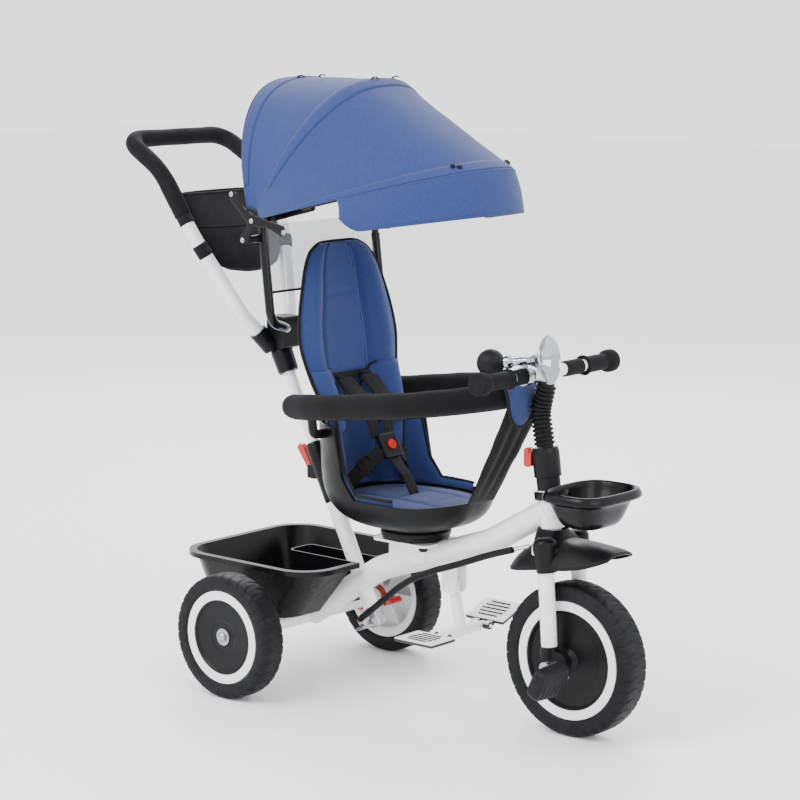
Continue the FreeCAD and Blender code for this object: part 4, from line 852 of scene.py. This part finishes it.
def make_lining():
    """Quilted cloth lining inside the bucket's sides, piped along the rim."""
    count = 72
    for side, tag in ((-1, "right"), (1, "left")):
        inner, outer, crest = [], [], []
        for j in range(count + 1):
            turn = side * math.radians(mix(64, 160, j / count))
            top_z = rim_height(pan_plan(400, PAN_WALL, turn)[0]) + 8
            column_in, column_out = [], []
            for i in range(15):
                z = mix(356, top_z, i / 14)
                x, y = pan_plan(min(z, 491), PAN_WALL + 0.8, turn)
                puff = 4.0 * math.sin(math.pi * i / 14) ** 0.6
                x_in, y_in = pan_plan(min(z, 491), PAN_WALL + 1.8 + puff, turn)
                p = at(x_in, y_in, z)
                column_in.append(p + Vector((0, wobble(p, 30.0, 0.0014, 11.0), 0)))
                column_out.append(at(x, y, z))
            inner.append(column_in)
            outer.append(column_out)
            crest.append((column_in[-1] + column_out[-1]) / 2)
        rows = [a + list(reversed(b)) for a, b in zip(inner, outer)]
        pad = grid("seat_lining_" + tag, rows, "seat", "blue_fabric", True, True)
        tube("seat_lining_piping_" + tag, crest, 0.0029, "seat", "black_fabric", 10)


# ---------------------------------------------------------------- guard ring, crotch panel and leaf flap
GUARD = [(84, 138), (172, 166), (374, 166), (468, 70)]
GUARD_FRONT_X = 468
GUARD_R = 0.022


def guard_height(x):
    return 505 + 0.125 * x


def guard_path():
    left = [at(x, y, guard_height(x)) for x, y in GUARD]
    points = left + [Vector((p.x, -p.y, p.z)) for p in reversed(left)]
    return rounded(points, [0.260, 0.140, 0.140, 0.140, 0.140, 0.260], 0.005)


def make_guard():
    path = guard_path()
    first, last = path[0], path[-1]
    lead = (path[0] - path[1]).normalized()
    tail = (path[-1] - path[-2]).normalized()
    caps_in = [first + lead * GUARD_R * k for k in (0.97, 0.9, 0.7, 0.4)]
    caps_out = [last + tail * GUARD_R * k for k in (0.4, 0.7, 0.9, 0.97)]
    whole = caps_in + path + caps_out
    total = sum((b - a).length for a, b in zip(whole, whole[1:]))

    def radius(length, share, angle):
        end = min(length, total - length) / GUARD_R
        close = math.sqrt(max(1 - (1 - min(end, 1.0)) ** 2, 0.04))
        lump = 0.00035 * math.sin(length * 95) + 0.0003 * math.sin(length * 41 + 1.0)
        return (GUARD_R - 0.0006 + lump) * close

    ring = tube("guard_ring_cover", whole, radius, "seat", "black_fabric:black_knit", 36, ("guard_ring",),
                UP)
    seam = [p + Vector((0, 0, -GUARD_R + 0.0002)) for p in path]
    tube("guard_ring_seam", seam, 0.0014, "seat", "black_fabric:thread_black", 6)


def make_crotch_panel():
    """Cloth panel from the guard ring down to the front of the bucket, wrapped over the ring."""
    front = at(GUARD_FRONT_X, 0, guard_height(GUARD_FRONT_X))
    rows = []
    wrap = []
    for k in range(15):
        angle = math.radians(mix(150, -62, k / 14))
        wrap.append(Vector((front.x + 0.0238 * math.cos(angle), 0, front.z + 0.0238 * math.sin(angle))))
    bottom = at(386.6, 0, 366)
    low = wrap[-1]
    for k in range(1, 25):
        share = k / 24
        p = low.lerp(bottom, share)
        p.x += 0.004 * math.sin(math.pi * share)
        wrap.append(p)
    for i, p in enumerate(wrap):
        drop = max(0.0, (i - 14) / 24)
        half = mix(0.046, 0.034, drop)
        row = []
        for j in range(25):
            share = mix(-1, 1, j / 24)
            fold = 0.0026 * math.sin(share * 9 + drop * 2.0) * math.sin(math.pi * min(drop + 0.02, 1.0))
            q = Vector((p.x + fold, share * half, p.z))
            row.append(q + Vector((wobble(q, 30.0, 0.0018, 9.0) * math.sin(math.pi * drop), 0, 0)))
        rows.append(row)
    panel = grid("crotch_panel_cloth", rows, "seat", "black_fabric", False, False,
                 ("crotch_panel",))
    thicken(panel, 0.0016, 0.0)
    for column, tag in ((0, "right"), (24, "left")):
        tube("crotch_binding_" + tag, [row[column] for row in rows], 0.0017, "seat",
                          "black_fabric:thread_black", 8)


def make_leaf():
    """Padded leaf-shaped flap hung over the front of the guard ring."""
    path = guard_path()
    centre = path[len(path) // 2] + Vector((0, -0.022, 0))
    ring_r = 0.0262
    rows = [leaf_row(centre, i / 14, ring_r + 0.0045 * (1 - (i / 14) ** 4) ** 0.5) for i in range(15)]
    inner = [leaf_row(centre, share, ring_r - 0.0008) for share in (0.98, 0.6, 0.1)]
    leaf = grid("guard_leaf_flap", rows + inner, "seat", "blue_fabric", True, False)
    loop_tube("guard_leaf_piping", rows[-1], 0.0026, "seat", "black_fabric")


def leaf_row(centre, share, radius):
    """One ring of the leaf, scaled by its share of the full outline."""
    row = []
    for turn in turns_of(60):
        wide = 0.040 * power(math.cos(turn), 0.9) * share
        tall = 0.058 * (math.sin(turn) + 0.10 * math.cos(2 * turn)) * share
        row.append(leaf_place(centre, wide, tall, radius))
    return row


def leaf_place(centre, wide, tall, radius):
    """Wraps flat leaf coordinates round the front of the ring, then lets them hang down."""
    arc = tall + 0.012
    if arc > 0:
        angle = min(arc / radius, math.radians(150))
        x, z = radius * math.cos(angle), radius * math.sin(angle)
    elif arc > -0.006:
        x, z = radius, arc
    else:
        x, z = radius - 0.10 * (-arc - 0.006), arc
    return Vector((centre.x + x - 0.9 * wide * wide, centre.y + wide, centre.z + z))


# ---------------------------------------------------------------- harness and buckle
def strap(name, points, width, thick, across, cover="webbing"):
    """Flat webbing on a smooth line, with slightly rolled edges."""
    curve = rounded(points, [0.03] * (len(points) - 2), 0.004) if len(points) > 2 else [
        points[0].lerp(points[1], k / 24) for k in range(25)]
    rows = []
    total = len(curve) - 1
    for i, p in enumerate(curve):
        a, b = curve[max(i - 1, 0)], curve[min(i + 1, total)]
        along = (b - a).normalized()
        side = (across - along * across.dot(along)).normalized()
        face = along.cross(side)
        row = []
        for j in range(9):
            s = mix(-1, 1, j / 8)
            rise = thick / 2 * (1 - abs(s) ** 4 * 0.6) + 0.0004 * math.cos(s * 6)
            row.append(p + side * width / 2 * s + face * rise)
        for j in range(8, -1, -1):
            s = mix(-1, 1, j / 8)
            row.append(p + side * width / 2 * s - face * (thick / 2 * (1 - abs(s) ** 4 * 0.6)))
        rows.append(row)
    piece = grid(name, rows, "seat", "black_fabric:" + cover, True, True)
    for side_sign, tag in ((-1, "a"), (1, "b")):
        path = [row[4 + side_sign * 3] + (row[4] - row[13]).normalized() * 0.0002 for row in rows]
        dashes(name + "_stitch_" + tag, path, "seat", "black_fabric:thread_black", 0.0004, 0.003, 0.002)
    return piece


def make_harness():
    """Five straps meeting at the buckle, with padded shoulder covers and an adjuster slide."""
    tilt = math.radians(-28.8)
    lean = Vector((math.sin(tilt), 0, math.cos(tilt)))
    out = Vector((math.cos(tilt), 0, -math.sin(tilt)))
    buckle = at(182, 0, 440)
    first = strap("harness_crotch", [at(240, 0, 362.5), at(222, 0, 394), buckle - lean * 0.024], 0.025, 0.0016,
                  LEFT)
    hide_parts("harness")
    for sign, tag in ((-1, "right"), (1, "left")):
        anchor = at(96, sign * 34, 560)
        end = buckle + lean * 0.020 + LEFT * sign * 0.017 - out * 0.007
        middle = (anchor + end) / 2 + Vector((0.022, 0, 0.006))
        strap("harness_shoulder_" + tag, [anchor, middle, end], 0.024, 0.0016, LEFT)
        pad_points = [anchor.lerp(middle, k) + Vector((0.0004, 0, 0)) for k in (0.15, 0.55, 0.95)]
        strap("harness_pad_" + tag, pad_points, 0.040, 0.0062, LEFT, "black_fabric")
        hip = at(152, sign * 84, 372)
        waist = buckle + LEFT * sign * 0.0224 - lean * 0.006
        strap("harness_waist_" + tag, [hip, (hip + waist) / 2 + Vector((0.006, 0, 0.009)), waist], 0.024, 0.0016,
              Vector((-0.3, 0, 1)).normalized())
        slide_at = hip.lerp(waist, 0.55) + Vector((0.004, 0, 0.0045))
        adjuster("harness_slide_" + tag, slide_at, (waist - hip).normalized())


def adjuster(name, centre, along):
    """Ladder slide: a rounded rectangular frame with a middle bar."""
    side = UP.cross(along).cross(along).normalized()
    out = along.cross(side)
    path = []
    for turn in turns_of(40):
        path.append(centre + along * power(math.cos(turn), 0.45) * 0.012
                    + side * power(math.sin(turn), 0.45) * 0.016)
    loop_tube(name, path, 0.0020, "seat", "black_plastic")
    tube(name + "_bar", [centre - side * 0.015, centre, centre + side * 0.015], 0.0020, "seat",
         "black_plastic", 8, start=out)


# ---------------------------------------------------------------- push handle foam, bag, net and canopy support
HANDLE = [(-88, 24, 600), (-112, 62, 652), (-180, 118, 795), (-248, 127, 905), (-340, 122, 957)]


def soft_copy(name, node, body, finish, voxel, lump):
    """A soft copy of one solid: evenly meshed, eased at the edges and slightly uneven."""
    slot, _, material = finish.partition(":")
    mesh = frame["nodes"][node].data.copy()
    mesh.name = name
    mesh.materials.clear()
    piece = bpy.data.objects.new(name, mesh)
    bpy.context.scene.collection.objects.link(piece)
    remesh = piece.modifiers.new("even", "REMESH")
    remesh.mode = "VOXEL"
    remesh.voxel_size = voxel
    relax = piece.modifiers.new("ease", "SMOOTH")
    relax.factor = 0.5
    relax.iterations = 6
    apply_modifiers(piece)
    normals = [v.normal.copy() for v in piece.data.vertices]
    for vertex, normal in zip(piece.data.vertices, normals):
        vertex.co += normal * (wobble(vertex.co, 60.0, lump, 4.0) - lump * 0.2)
    for polygon in piece.data.polygons:
        polygon.use_smooth = True
    piece.data.materials.clear()
    piece.data.materials.append(PAINT[material or slot])
    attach(piece, body)
    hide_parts(node)
    return piece


def bag_row(z, half, front, back, share_down):
    """One level of the pouch: a lens outline that sags and creases."""
    share = (z - 652.0) / (795.0 - 652.0)
    x = -112 - 68 * share
    if z > 795:
        x = -180 - 68 * (z - 795) / 110
    row = []
    for turn in turns_of(72):
        y = half * power(math.cos(turn), 0.9)
        depth = front if math.sin(turn) > 0 else back
        bulge = power(abs(math.sin(turn)), 1.1) * depth * (1 if math.sin(turn) > 0 else -1)
        sag = -6.0 * (1 - (y / half) ** 2) * (1 - share_down)
        p = at(x + bulge, y, z + sag)
        crease = wobble(p, 20.0, 0.0045, 7.0) + wobble(p, 55.0, 0.0016, 2.0)
        p.x += crease * abs(math.sin(turn)) * min(1.0, 1.6 - share_down)
        row.append(p)
    return row


BAG = ((728, 50, 8, 16), (736, 70, 17, 30), (755, 86, 22, 38), (795, 101, 20, 40), (866, 105, 10, 27))


def make_bag():
    """Cloth pouch slung between the handle tubes, open at the top."""
    rows = []
    levels = 34
    for i in range(levels + 1):
        z = mix(730, 862, (i / levels) ** 0.85)
        half, front, back = (table_value(BAG, z, k) for k in (1, 2, 3))
        rows.append(bag_row(z, half, front - 1.0, back - 1.0, i / levels))
    centre = sum(rows[0], Vector()) / len(rows[0])
    closing = [[centre.lerp(p, share) - UP * 0.002 * (1 - share) for p in rows[0]]
               for share in (0.05, 0.5, 0.85)]
    bag = grid("rear_bag_cloth", closing + rows, "push_handle", "black_fabric", True, False,
               ("rear_bag",))
    thicken(bag, 0.0014)
    pieces = [loop_tube("rear_bag_rim", rows[-1], 0.0030, "push_handle", "black_fabric:thread_black")]
    seam = rows[int(levels * 0.55)]
    front_half = [p + Vector((0.0012, 0, 0)) for p in seam[2:35]]
    rear_half = [p - Vector((0.0012, 0, 0)) for p in seam[38:71]]
    for tag, path in (("front", front_half), ("rear", rear_half)):
        pieces.append(tube("rear_bag_seam_" + tag, path, 0.0018, "push_handle", "black_fabric:thread_black", 8))
    for side in (-1, 1):
        for level, tag in ((822, "upper"), (766, "lower")):
            strap_loop("rear_bag_loop_%s_%s" % (tag, "left" if side > 0 else "right"), level, side)


def strap_loop(name, z, side):
    """Band of webbing round one handle tube."""
    low, high = HANDLE[1], HANDLE[2]
    if z > 795:
        low, high = HANDLE[2], HANDLE[3]
    share = (z - low[2]) / (high[2] - low[2])
    centre = at(mix(low[0], high[0], share), side * mix(low[1], high[1], share), z)
    along = (at(high[0], side * high[1], high[2]) - at(low[0], side * low[1], low[2])).normalized()
    across = (LEFT - along * LEFT.dot(along)).normalized()
    third = along.cross(across)
    rows = []
    for k in range(-6, 7):
        lift = 0.0002 if abs(k) == 6 else 0.0002 + 0.0012
        row = []
        for turn in turns_of(32):
            r = 0.0127 + lift + 0.0003 * math.sin(turn * 5)
            row.append(centre + along * k * 0.0021 + (across * math.cos(turn) + third * math.sin(turn)) * r)
        rows.append(row)
    grid(name, rows, "push_handle", "black_fabric:webbing", True, False)


def make_net():
    """See-through net window between the canopy legs, with a bound edge."""
    low, high = (Vector(corner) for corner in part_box("mesh_window"))
    rows = []
    for i in range(25):
        share = i / 24
        z = mix(low.z, high.z, share)
        x = mix(high.x, low.x, share) + 0.0008
        row = []
        half = min(abs(low.y), abs(high.y)) - (0.0024 if share > 0.6 else 0.0006)
        for j in range(49):
            s = mix(-1, 1, j / 48)
            belly = 0.0035 * (1 - s * s) * math.sin(math.pi * share)
            p = Vector((x - belly, s * half, z))
            row.append(p + Vector((wobble(p, 12.0, 0.0018, 3.0), 0, 0)))
        rows.append(row)
    window = grid("mesh_window_net", rows, "canopy_rear", "white_mesh", False, False,
                  ("mesh_window",))
    edges = [tube("mesh_window_hem", rows[0], 0.0022, "canopy_rear", "black_fabric", 8)]


ROD_LINE = [(146, -38, 128), (196, -38, 168), (250, -38, 212), (309, -38, 241), (372, -38, 263), (432, -38, 287),
            (486, -38, 305)]


def make_sleeve():
    """Spiral-wound cover over the steering rod."""
    points = [at(*p) for p in ROD_LINE]
    bends = []
    for a, b, c in zip(points, points[1:], points[2:]):
        turn = (b - a).angle(c - b)
        bends.append(0.45 * min((b - a).length, (c - b).length) / math.tan(turn / 2))
    path = rounded(points, bends, 0.0012)

    def radius(length, share, angle):
        spiral = math.sin(length * 2 * math.pi / 0.0052 + angle)
        return 0.0056 + 0.00045 * spiral

    tube("steering_sleeve_wound", path, radius, "frame", "black_rubber", 24,
         ("steering_sleeve",), LEFT)
    foot = at(146, -38, 128)
    axis = Vector((-0.49, 0, 1)).normalized()
    tube("steering_stud", [foot + axis * 0.002, foot - axis * 0.004, foot - axis * 0.0135],
         lambda l, s, a: 0.0035 + (0.001 if l < 0.003 else 0.0), "frame", "zinc_steel", 16)


def make_soft_grips():
    start = Vector(HANDLE[2]).lerp(Vector(HANDLE[3]), 0.28)
    left = [start, Vector(HANDLE[3]), Vector(HANDLE[4])]
    points = [at(*p) for p in left] + [at(p.x, -p.y, p.z) for p in reversed(left)]
    path = rounded(points, [0.120, 0.034, 0.034, 0.120], 0.004)
    total = sum((b - a).length for a, b in zip(path, path[1:]))

    def radius(length, share, angle):
        end = min(length, total - length)
        close = 1 - 0.09 * (1 - ease(end / 0.003))
        return (0.0154 + 0.00025 * math.sin(length * 70) + 0.0002 * math.sin(length * 31 + 2)) * close

    foam_tube = tube("handle_foam_soft", path, radius, "push_handle", "black_rubber:grip_foam_solid", 28,
                     ("handle_foam",))
    soft_copy("bar_foam_soft", "bar_foam", "steering", "black_rubber:grip_foam_solid", 0.0020, 0.0003)
    soft_copy("hand_grips_soft", "hand_grips", "steering", "black_rubber:grip_foam_solid", 0.0020, 0.0003)
    soft_copy("horn_bulb_soft", "horn_bulb", "steering", "black_rubber", 0.0016, 0.0001)


# ---------------------------------------------------------------- canopy side linkage
def make_bracket():
    """Three-armed side plates outside the cloth, with a domed rivet at each end and one in the middle."""
    hub, rear, front, low = (37, 837), (-10, 880), (112, 822), (16, 803)
    for side, tag in ((-1, "right"), (1, "left")):
        face = side * 190.5
        for name, end in (("rear", rear), ("front", front), ("low", low)):
            start = Vector((hub[0], 0, hub[1]))
            stop = Vector((end[0], 0, end[1]))
            along = (stop - start).normalized()
            across = Vector((-along.z, 0, along.x))
            rows = []
            for i in range(27):
                share = i / 26
                centre = start.lerp(stop, share) + across * 3.0 * math.sin(math.pi * share)
                wide = 8.0 + 1.6 * math.cos(2 * math.pi * share)
                if share > 0.93 or share < 0.07:
                    close = max(1 - (abs(share - 0.5) - 0.43) / 0.07, 0.0)
                    wide *= math.sqrt(max(1 - (1 - close) ** 2, 0.02))
                row = []
                for turn in turns_of(20):
                    p = centre + across * (power(math.cos(turn), 0.5) * wide)
                    row.append(at(p.x, face + power(math.sin(turn), 0.5) * 2.2, p.z))
                rows.append(row)
            replaced = ("canopy_bracket",) if name == "rear" else ()
            grid("canopy_link_%s_%s" % (name, tag), rows, "canopy_rear", "black_plastic", True, True, replaced)
            rivet("canopy_rivet_%s_%s" % (name, tag), at(end[0], face + side * 2.0, end[1]), side)
        rivet("canopy_rivet_middle_" + tag, at(hub[0], face + side * 2.0, hub[1]), side)
        post = [at(low[0], side * 146, low[1]), at(low[0], side * 168, low[1]), at(low[0], side * 190, low[1])]
        tube("canopy_spacer_" + tag, post, lambda l, s, a: 0.0075 - 0.0012 * math.sin(math.pi * s), "canopy_rear",
             "black_plastic", 18)


def rivet(name, centre, side):
    rows = []
    for rise, r in ((0.0, 4.6), (0.8, 4.6), (1.5, 4.1), (2.2, 3.0), (2.6, 1.4)):
        rows.append([centre + Vector((math.cos(a) * r / 1000, side * rise / 1000, math.sin(a) * r / 1000))
                     for a in turns_of(20)])
    grid(name, rows, "canopy_rear", "zinc_steel", True, True)


# ---------------------------------------------------------------- front mudguard
def make_mudguard():
    """Moulded mudguard that flows from the fork crown down over the tyre in one skin."""
    levels = ((470, 276, 20, 269), (480, 289, 31, 271), (500, 306, 42, 275), (530, 320, 50, 281),
              (562, 327, 54, 287), (600, 328, 55, 291), (632, 326, 52, 297), (655, 324, 48, 304),
              (668, 322, 43, 309), (677, 319, 34, 313))
    rows = []
    for i in range(45):
        x = mix(470, 677, 0.5 - 0.5 * math.cos(math.pi * i / 44))
        crest, half, edge = (smooth_value(levels, x, k) for k in (1, 2, 3))
        row = []
        for j in range(41):
            side = mix(-1, 1, j / 40)
            row.append(at(x, side * half, mix(crest, edge, abs(side) ** 2.8)))
        rows.append(row)
    shell = grid("mudguard_shell", rows, "steering", "black_plastic", False, False,
                 ("fender",))
    thicken(shell, 0.0032)
    smooth(shell)
    edge = [row[0] for row in rows] + rows[-1][1:-1] + [row[-1] for row in reversed(rows)] + rows[0][-2:0:-1]
    loop_tube("mudguard_rim", edge, 0.0022, "steering", "black_plastic")
    crown = []
    for z, rx, ry in ((296, 27, 40), (306, 31, 52), (320, 31, 53), (331, 27, 38), (339, 24.5, 28),
                      (344.5, 22.5, 22.5)):
        mid = mix(556, 541.5, ease((z - 318) / 26))
        crown.append(oval(mid, rx, ry, z, 48))
    cover = grid("mudguard_crown", crown, "steering", "black_plastic", True, False)
    smooth(cover)
    for side, tag in ((-1, "right"), (1, "left")):
        cuff = [at(557 + 7 * k / 12, side * 45, 337 - 57 * k / 12) for k in range(13)]
        tube("mudguard_cuff_" + tag, cuff, lambda l, s, a: 0.0203 * min(1.0, 0.55 + 4 * s) - 0.003 * s,
             "steering", "black_plastic", 28)


# ---------------------------------------------------------------- pedals
CRANK_LENGTH = 38.0
CRANK_ANGLE = math.radians(-12)
PEDAL_TILT = math.radians(65)


def make_pedals():
    """Soft-cornered rubber block with a ribbed tread on both faces."""
    lean, rise = math.cos(PEDAL_TILT), math.sin(PEDAL_TILT)
    for tag, side in (("left", 1), ("right", -1)):
        reach = -side * CRANK_LENGTH
        tip_x = FRONT_AXLE_X + reach * math.cos(CRANK_ANGLE)
        tip_z = FRONT_AXLE_Z + reach * math.sin(CRANK_ANGLE)
        rows = []
        for i in range(49):
            share = i / 48
            y = side * mix(86.6, 159.5, share)
            close = 1 - abs(2 * share - 1) ** 5
            wide = 31 * mix(0.55, 1.0, close ** 0.5) * (1 - 0.10 * share)
            deep = 15 * mix(0.62, 1.0, close ** 0.5)
            rib = 1.1 * max(0.0, math.sin(12 * math.pi * share)) ** 0.5 if 0.1 < share < 0.9 else 0.0
            row = []
            for turn in turns_of(56):
                along = wide * power(math.cos(turn), 0.7)
                across = (deep - rib * (abs(math.cos(turn)) < 0.8)) * power(math.sin(turn), 0.45)
                row.append(at(tip_x + along * lean - across * rise, y, tip_z + along * rise + across * lean))
            rows.append(row)
        grid("pedal_block_" + tag, rows, "pedal_" + tag, "black_plastic:black_rubber", True, True,
             ("pedal_" + tag,))


# ---------------------------------------------------------------- front basket
def make_tub():
    """Small oval tub with a rolled-over rim and rounded bottom, moulded in one skin."""
    levels = ((357.9, 604, 636, 26), (358.3, 590, 648, 42), (363, 583, 655, 50), (374, 576, 661, 58),
              (392, 569, 667, 66), (404.5, 564, 671, 71), (404.6, 557, 686, 84.5), (410, 556.5, 685.5, 84.5),
              (417, 558, 683, 82.5), (420.6, 561, 680, 79.5), (420.9, 564, 676, 76), (417.5, 566, 672, 73.5),
              (405, 567.5, 669, 70), (392, 572, 664.5, 63.5), (374, 579, 658, 55.5), (364.5, 586, 651.5, 47.5),
              (361, 593, 645, 39), (360.6, 606, 634, 24))
    rows = [oval((rear + front) / 2, (front - rear) / 2, half, z, 72) for z, rear, front, half in levels]
    tub = grid("front_tub", rows, "frame", "gloss_black", True, True)
    smooth(tub)
    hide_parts("front_basket")
    collar = [at(534.6, 0, 393), at(533.7, 0, 400), at(532.9, 0, 406)]
    tube("front_tub_collar", collar, lambda l, s, a: 0.0262, "frame", "gloss_black", 40)
    arm = [at(556, 0, 399), at(562, 0, 400), at(569, 0, 401)]
    tube("front_tub_arm", arm, lambda l, s, a: 0.012, "frame", "gloss_black", 24)


# ---------------------------------------------------------------- lower seat flaps
def make_seat_flaps():
    """Dark webbing strip across the backrest, painted shade standing in for the shaded gap where the two cushions
    meet, and the two corner flaps under it.
    """
    rows = []
    for i in range(7):
        z = mix(556, 569, i / 6)
        lift = 0.0016 + 0.0012 * math.sin(math.pi * i / 6)
        rows.append([back_surface(z - 6 * math.cos(s * 1.3), s, True) + Vector((lift + 0.004, 0, 0))
                     for s in (mix(-0.78, 0.78, k / 30) for k in range(31))])
    # dark strip laid on the backrest: painted shade for the gap between the two cushions
    band = grid("seat_gap_painted_shade", rows, "seat", "black_fabric:webbing")
    thicken(band, 0.0014)
    for side, tag in ((-1, "right"), (1, "left")):
        rows = []
        outline = []
        for i in range(25):
            share = i / 24
            z = mix(574, 470, share)
            inner = mix(0.60, 0.20, math.sin(math.pi * min(share * 0.9 + 0.05, 1.0)))
            row = []
            for j in range(15):
                across = side * mix(0.97, inner, j / 14)
                puff = 0.0075 * math.sin(math.pi * share) ** 0.5 * (1 - (2 * j / 14 - 1) ** 4) ** 0.5
                p = back_surface(z, across, True)
                row.append(p + Vector((0.0055 + puff + wobble(p, 40.0, 0.001, 5.0), 0, 0)))
            for j in range(14, -1, -1):
                across = side * mix(0.97, inner, j / 14)
                row.append(back_surface(z, across, True) + Vector((0.0003, 0, 0)))
            rows.append(row)
            outline.append(row[14])
        flap = grid("seat_flap_" + tag, rows, "seat", "blue_fabric", True, True)
        tube("seat_flap_piping_" + tag, outline, 0.0021, "seat", "black_fabric", 8)


# ---------------------------------------------------------------- foot plate treads
def make_treads():
    """Ribs that make an oval grip pad on each folding plate."""
    for tag, side, tilt in (("left", 1, math.radians(20)), ("right", -1, 0.0)):
        hinge = at(346, side * 56, 136)
        lift = 0.0062
        for k in range(5):
            out = 0.022 + 0.010 * k
            reach = 0.026 * math.sqrt(max(1 - ((k - 2) / 3.2) ** 2, 0.1))
            y = side * (out * math.cos(tilt)) - side * lift * math.sin(tilt)
            z = out * math.sin(tilt) + lift * math.cos(tilt)
            path = [hinge + Vector((mix(-reach, reach, i / 10), y, z)) for i in range(11)]
            tube("foot_rib_%s_%d" % (tag, k), path, 0.0016, "foot_plate_" + tag, "black_rubber", 10, flat=0.8)


# ---------------------------------------------------------------- everything together
def paint_nodes():
    """Gives every carried-over solid the procedural finish of its slot."""
    for entry in frame["record"]["subparts"]:
        node = frame["nodes"][entry["node"]]
        node.data.materials.clear()
        node.data.materials.append(PAINT[entry["material_slot"]])
        for polygon in node.data.polygons:
            polygon.material_index = 0
    for node in ("foot_plate_left", "foot_plate_right"):
        frame["nodes"][node].data.materials[0] = PAINT["foot_plate"]


def make_floor():
    mesh = bpy.data.meshes.new("floor")
    size = 14.0
    mesh.from_pydata([(-size, -size, 0), (size, -size, 0), (size, size, 0), (-size, size, 0)], [], [(0, 1, 2, 3)])
    s = Shader("pale_floor", (0.93, 0.93, 0.93), 0.6)
    s.rough(s.noise(3.0), 0.55, 0.65)
    mesh.materials.append(s.material)
    floor = bpy.data.objects.new("floor", mesh)
    bpy.context.scene.collection.objects.link(floor)


make_camera()
make_light()
PAINT = make_materials()
for make in (paint_nodes, make_floor, make_wheels, make_canopy, make_backrest, make_cushion, make_lining,
             make_guard, make_crotch_panel, make_leaf, make_harness, make_bag, make_net, make_sleeve,
             make_bracket, make_mudguard, make_tub, make_pedals, make_seat_flaps, make_treads,
             make_soft_grips):
    make()
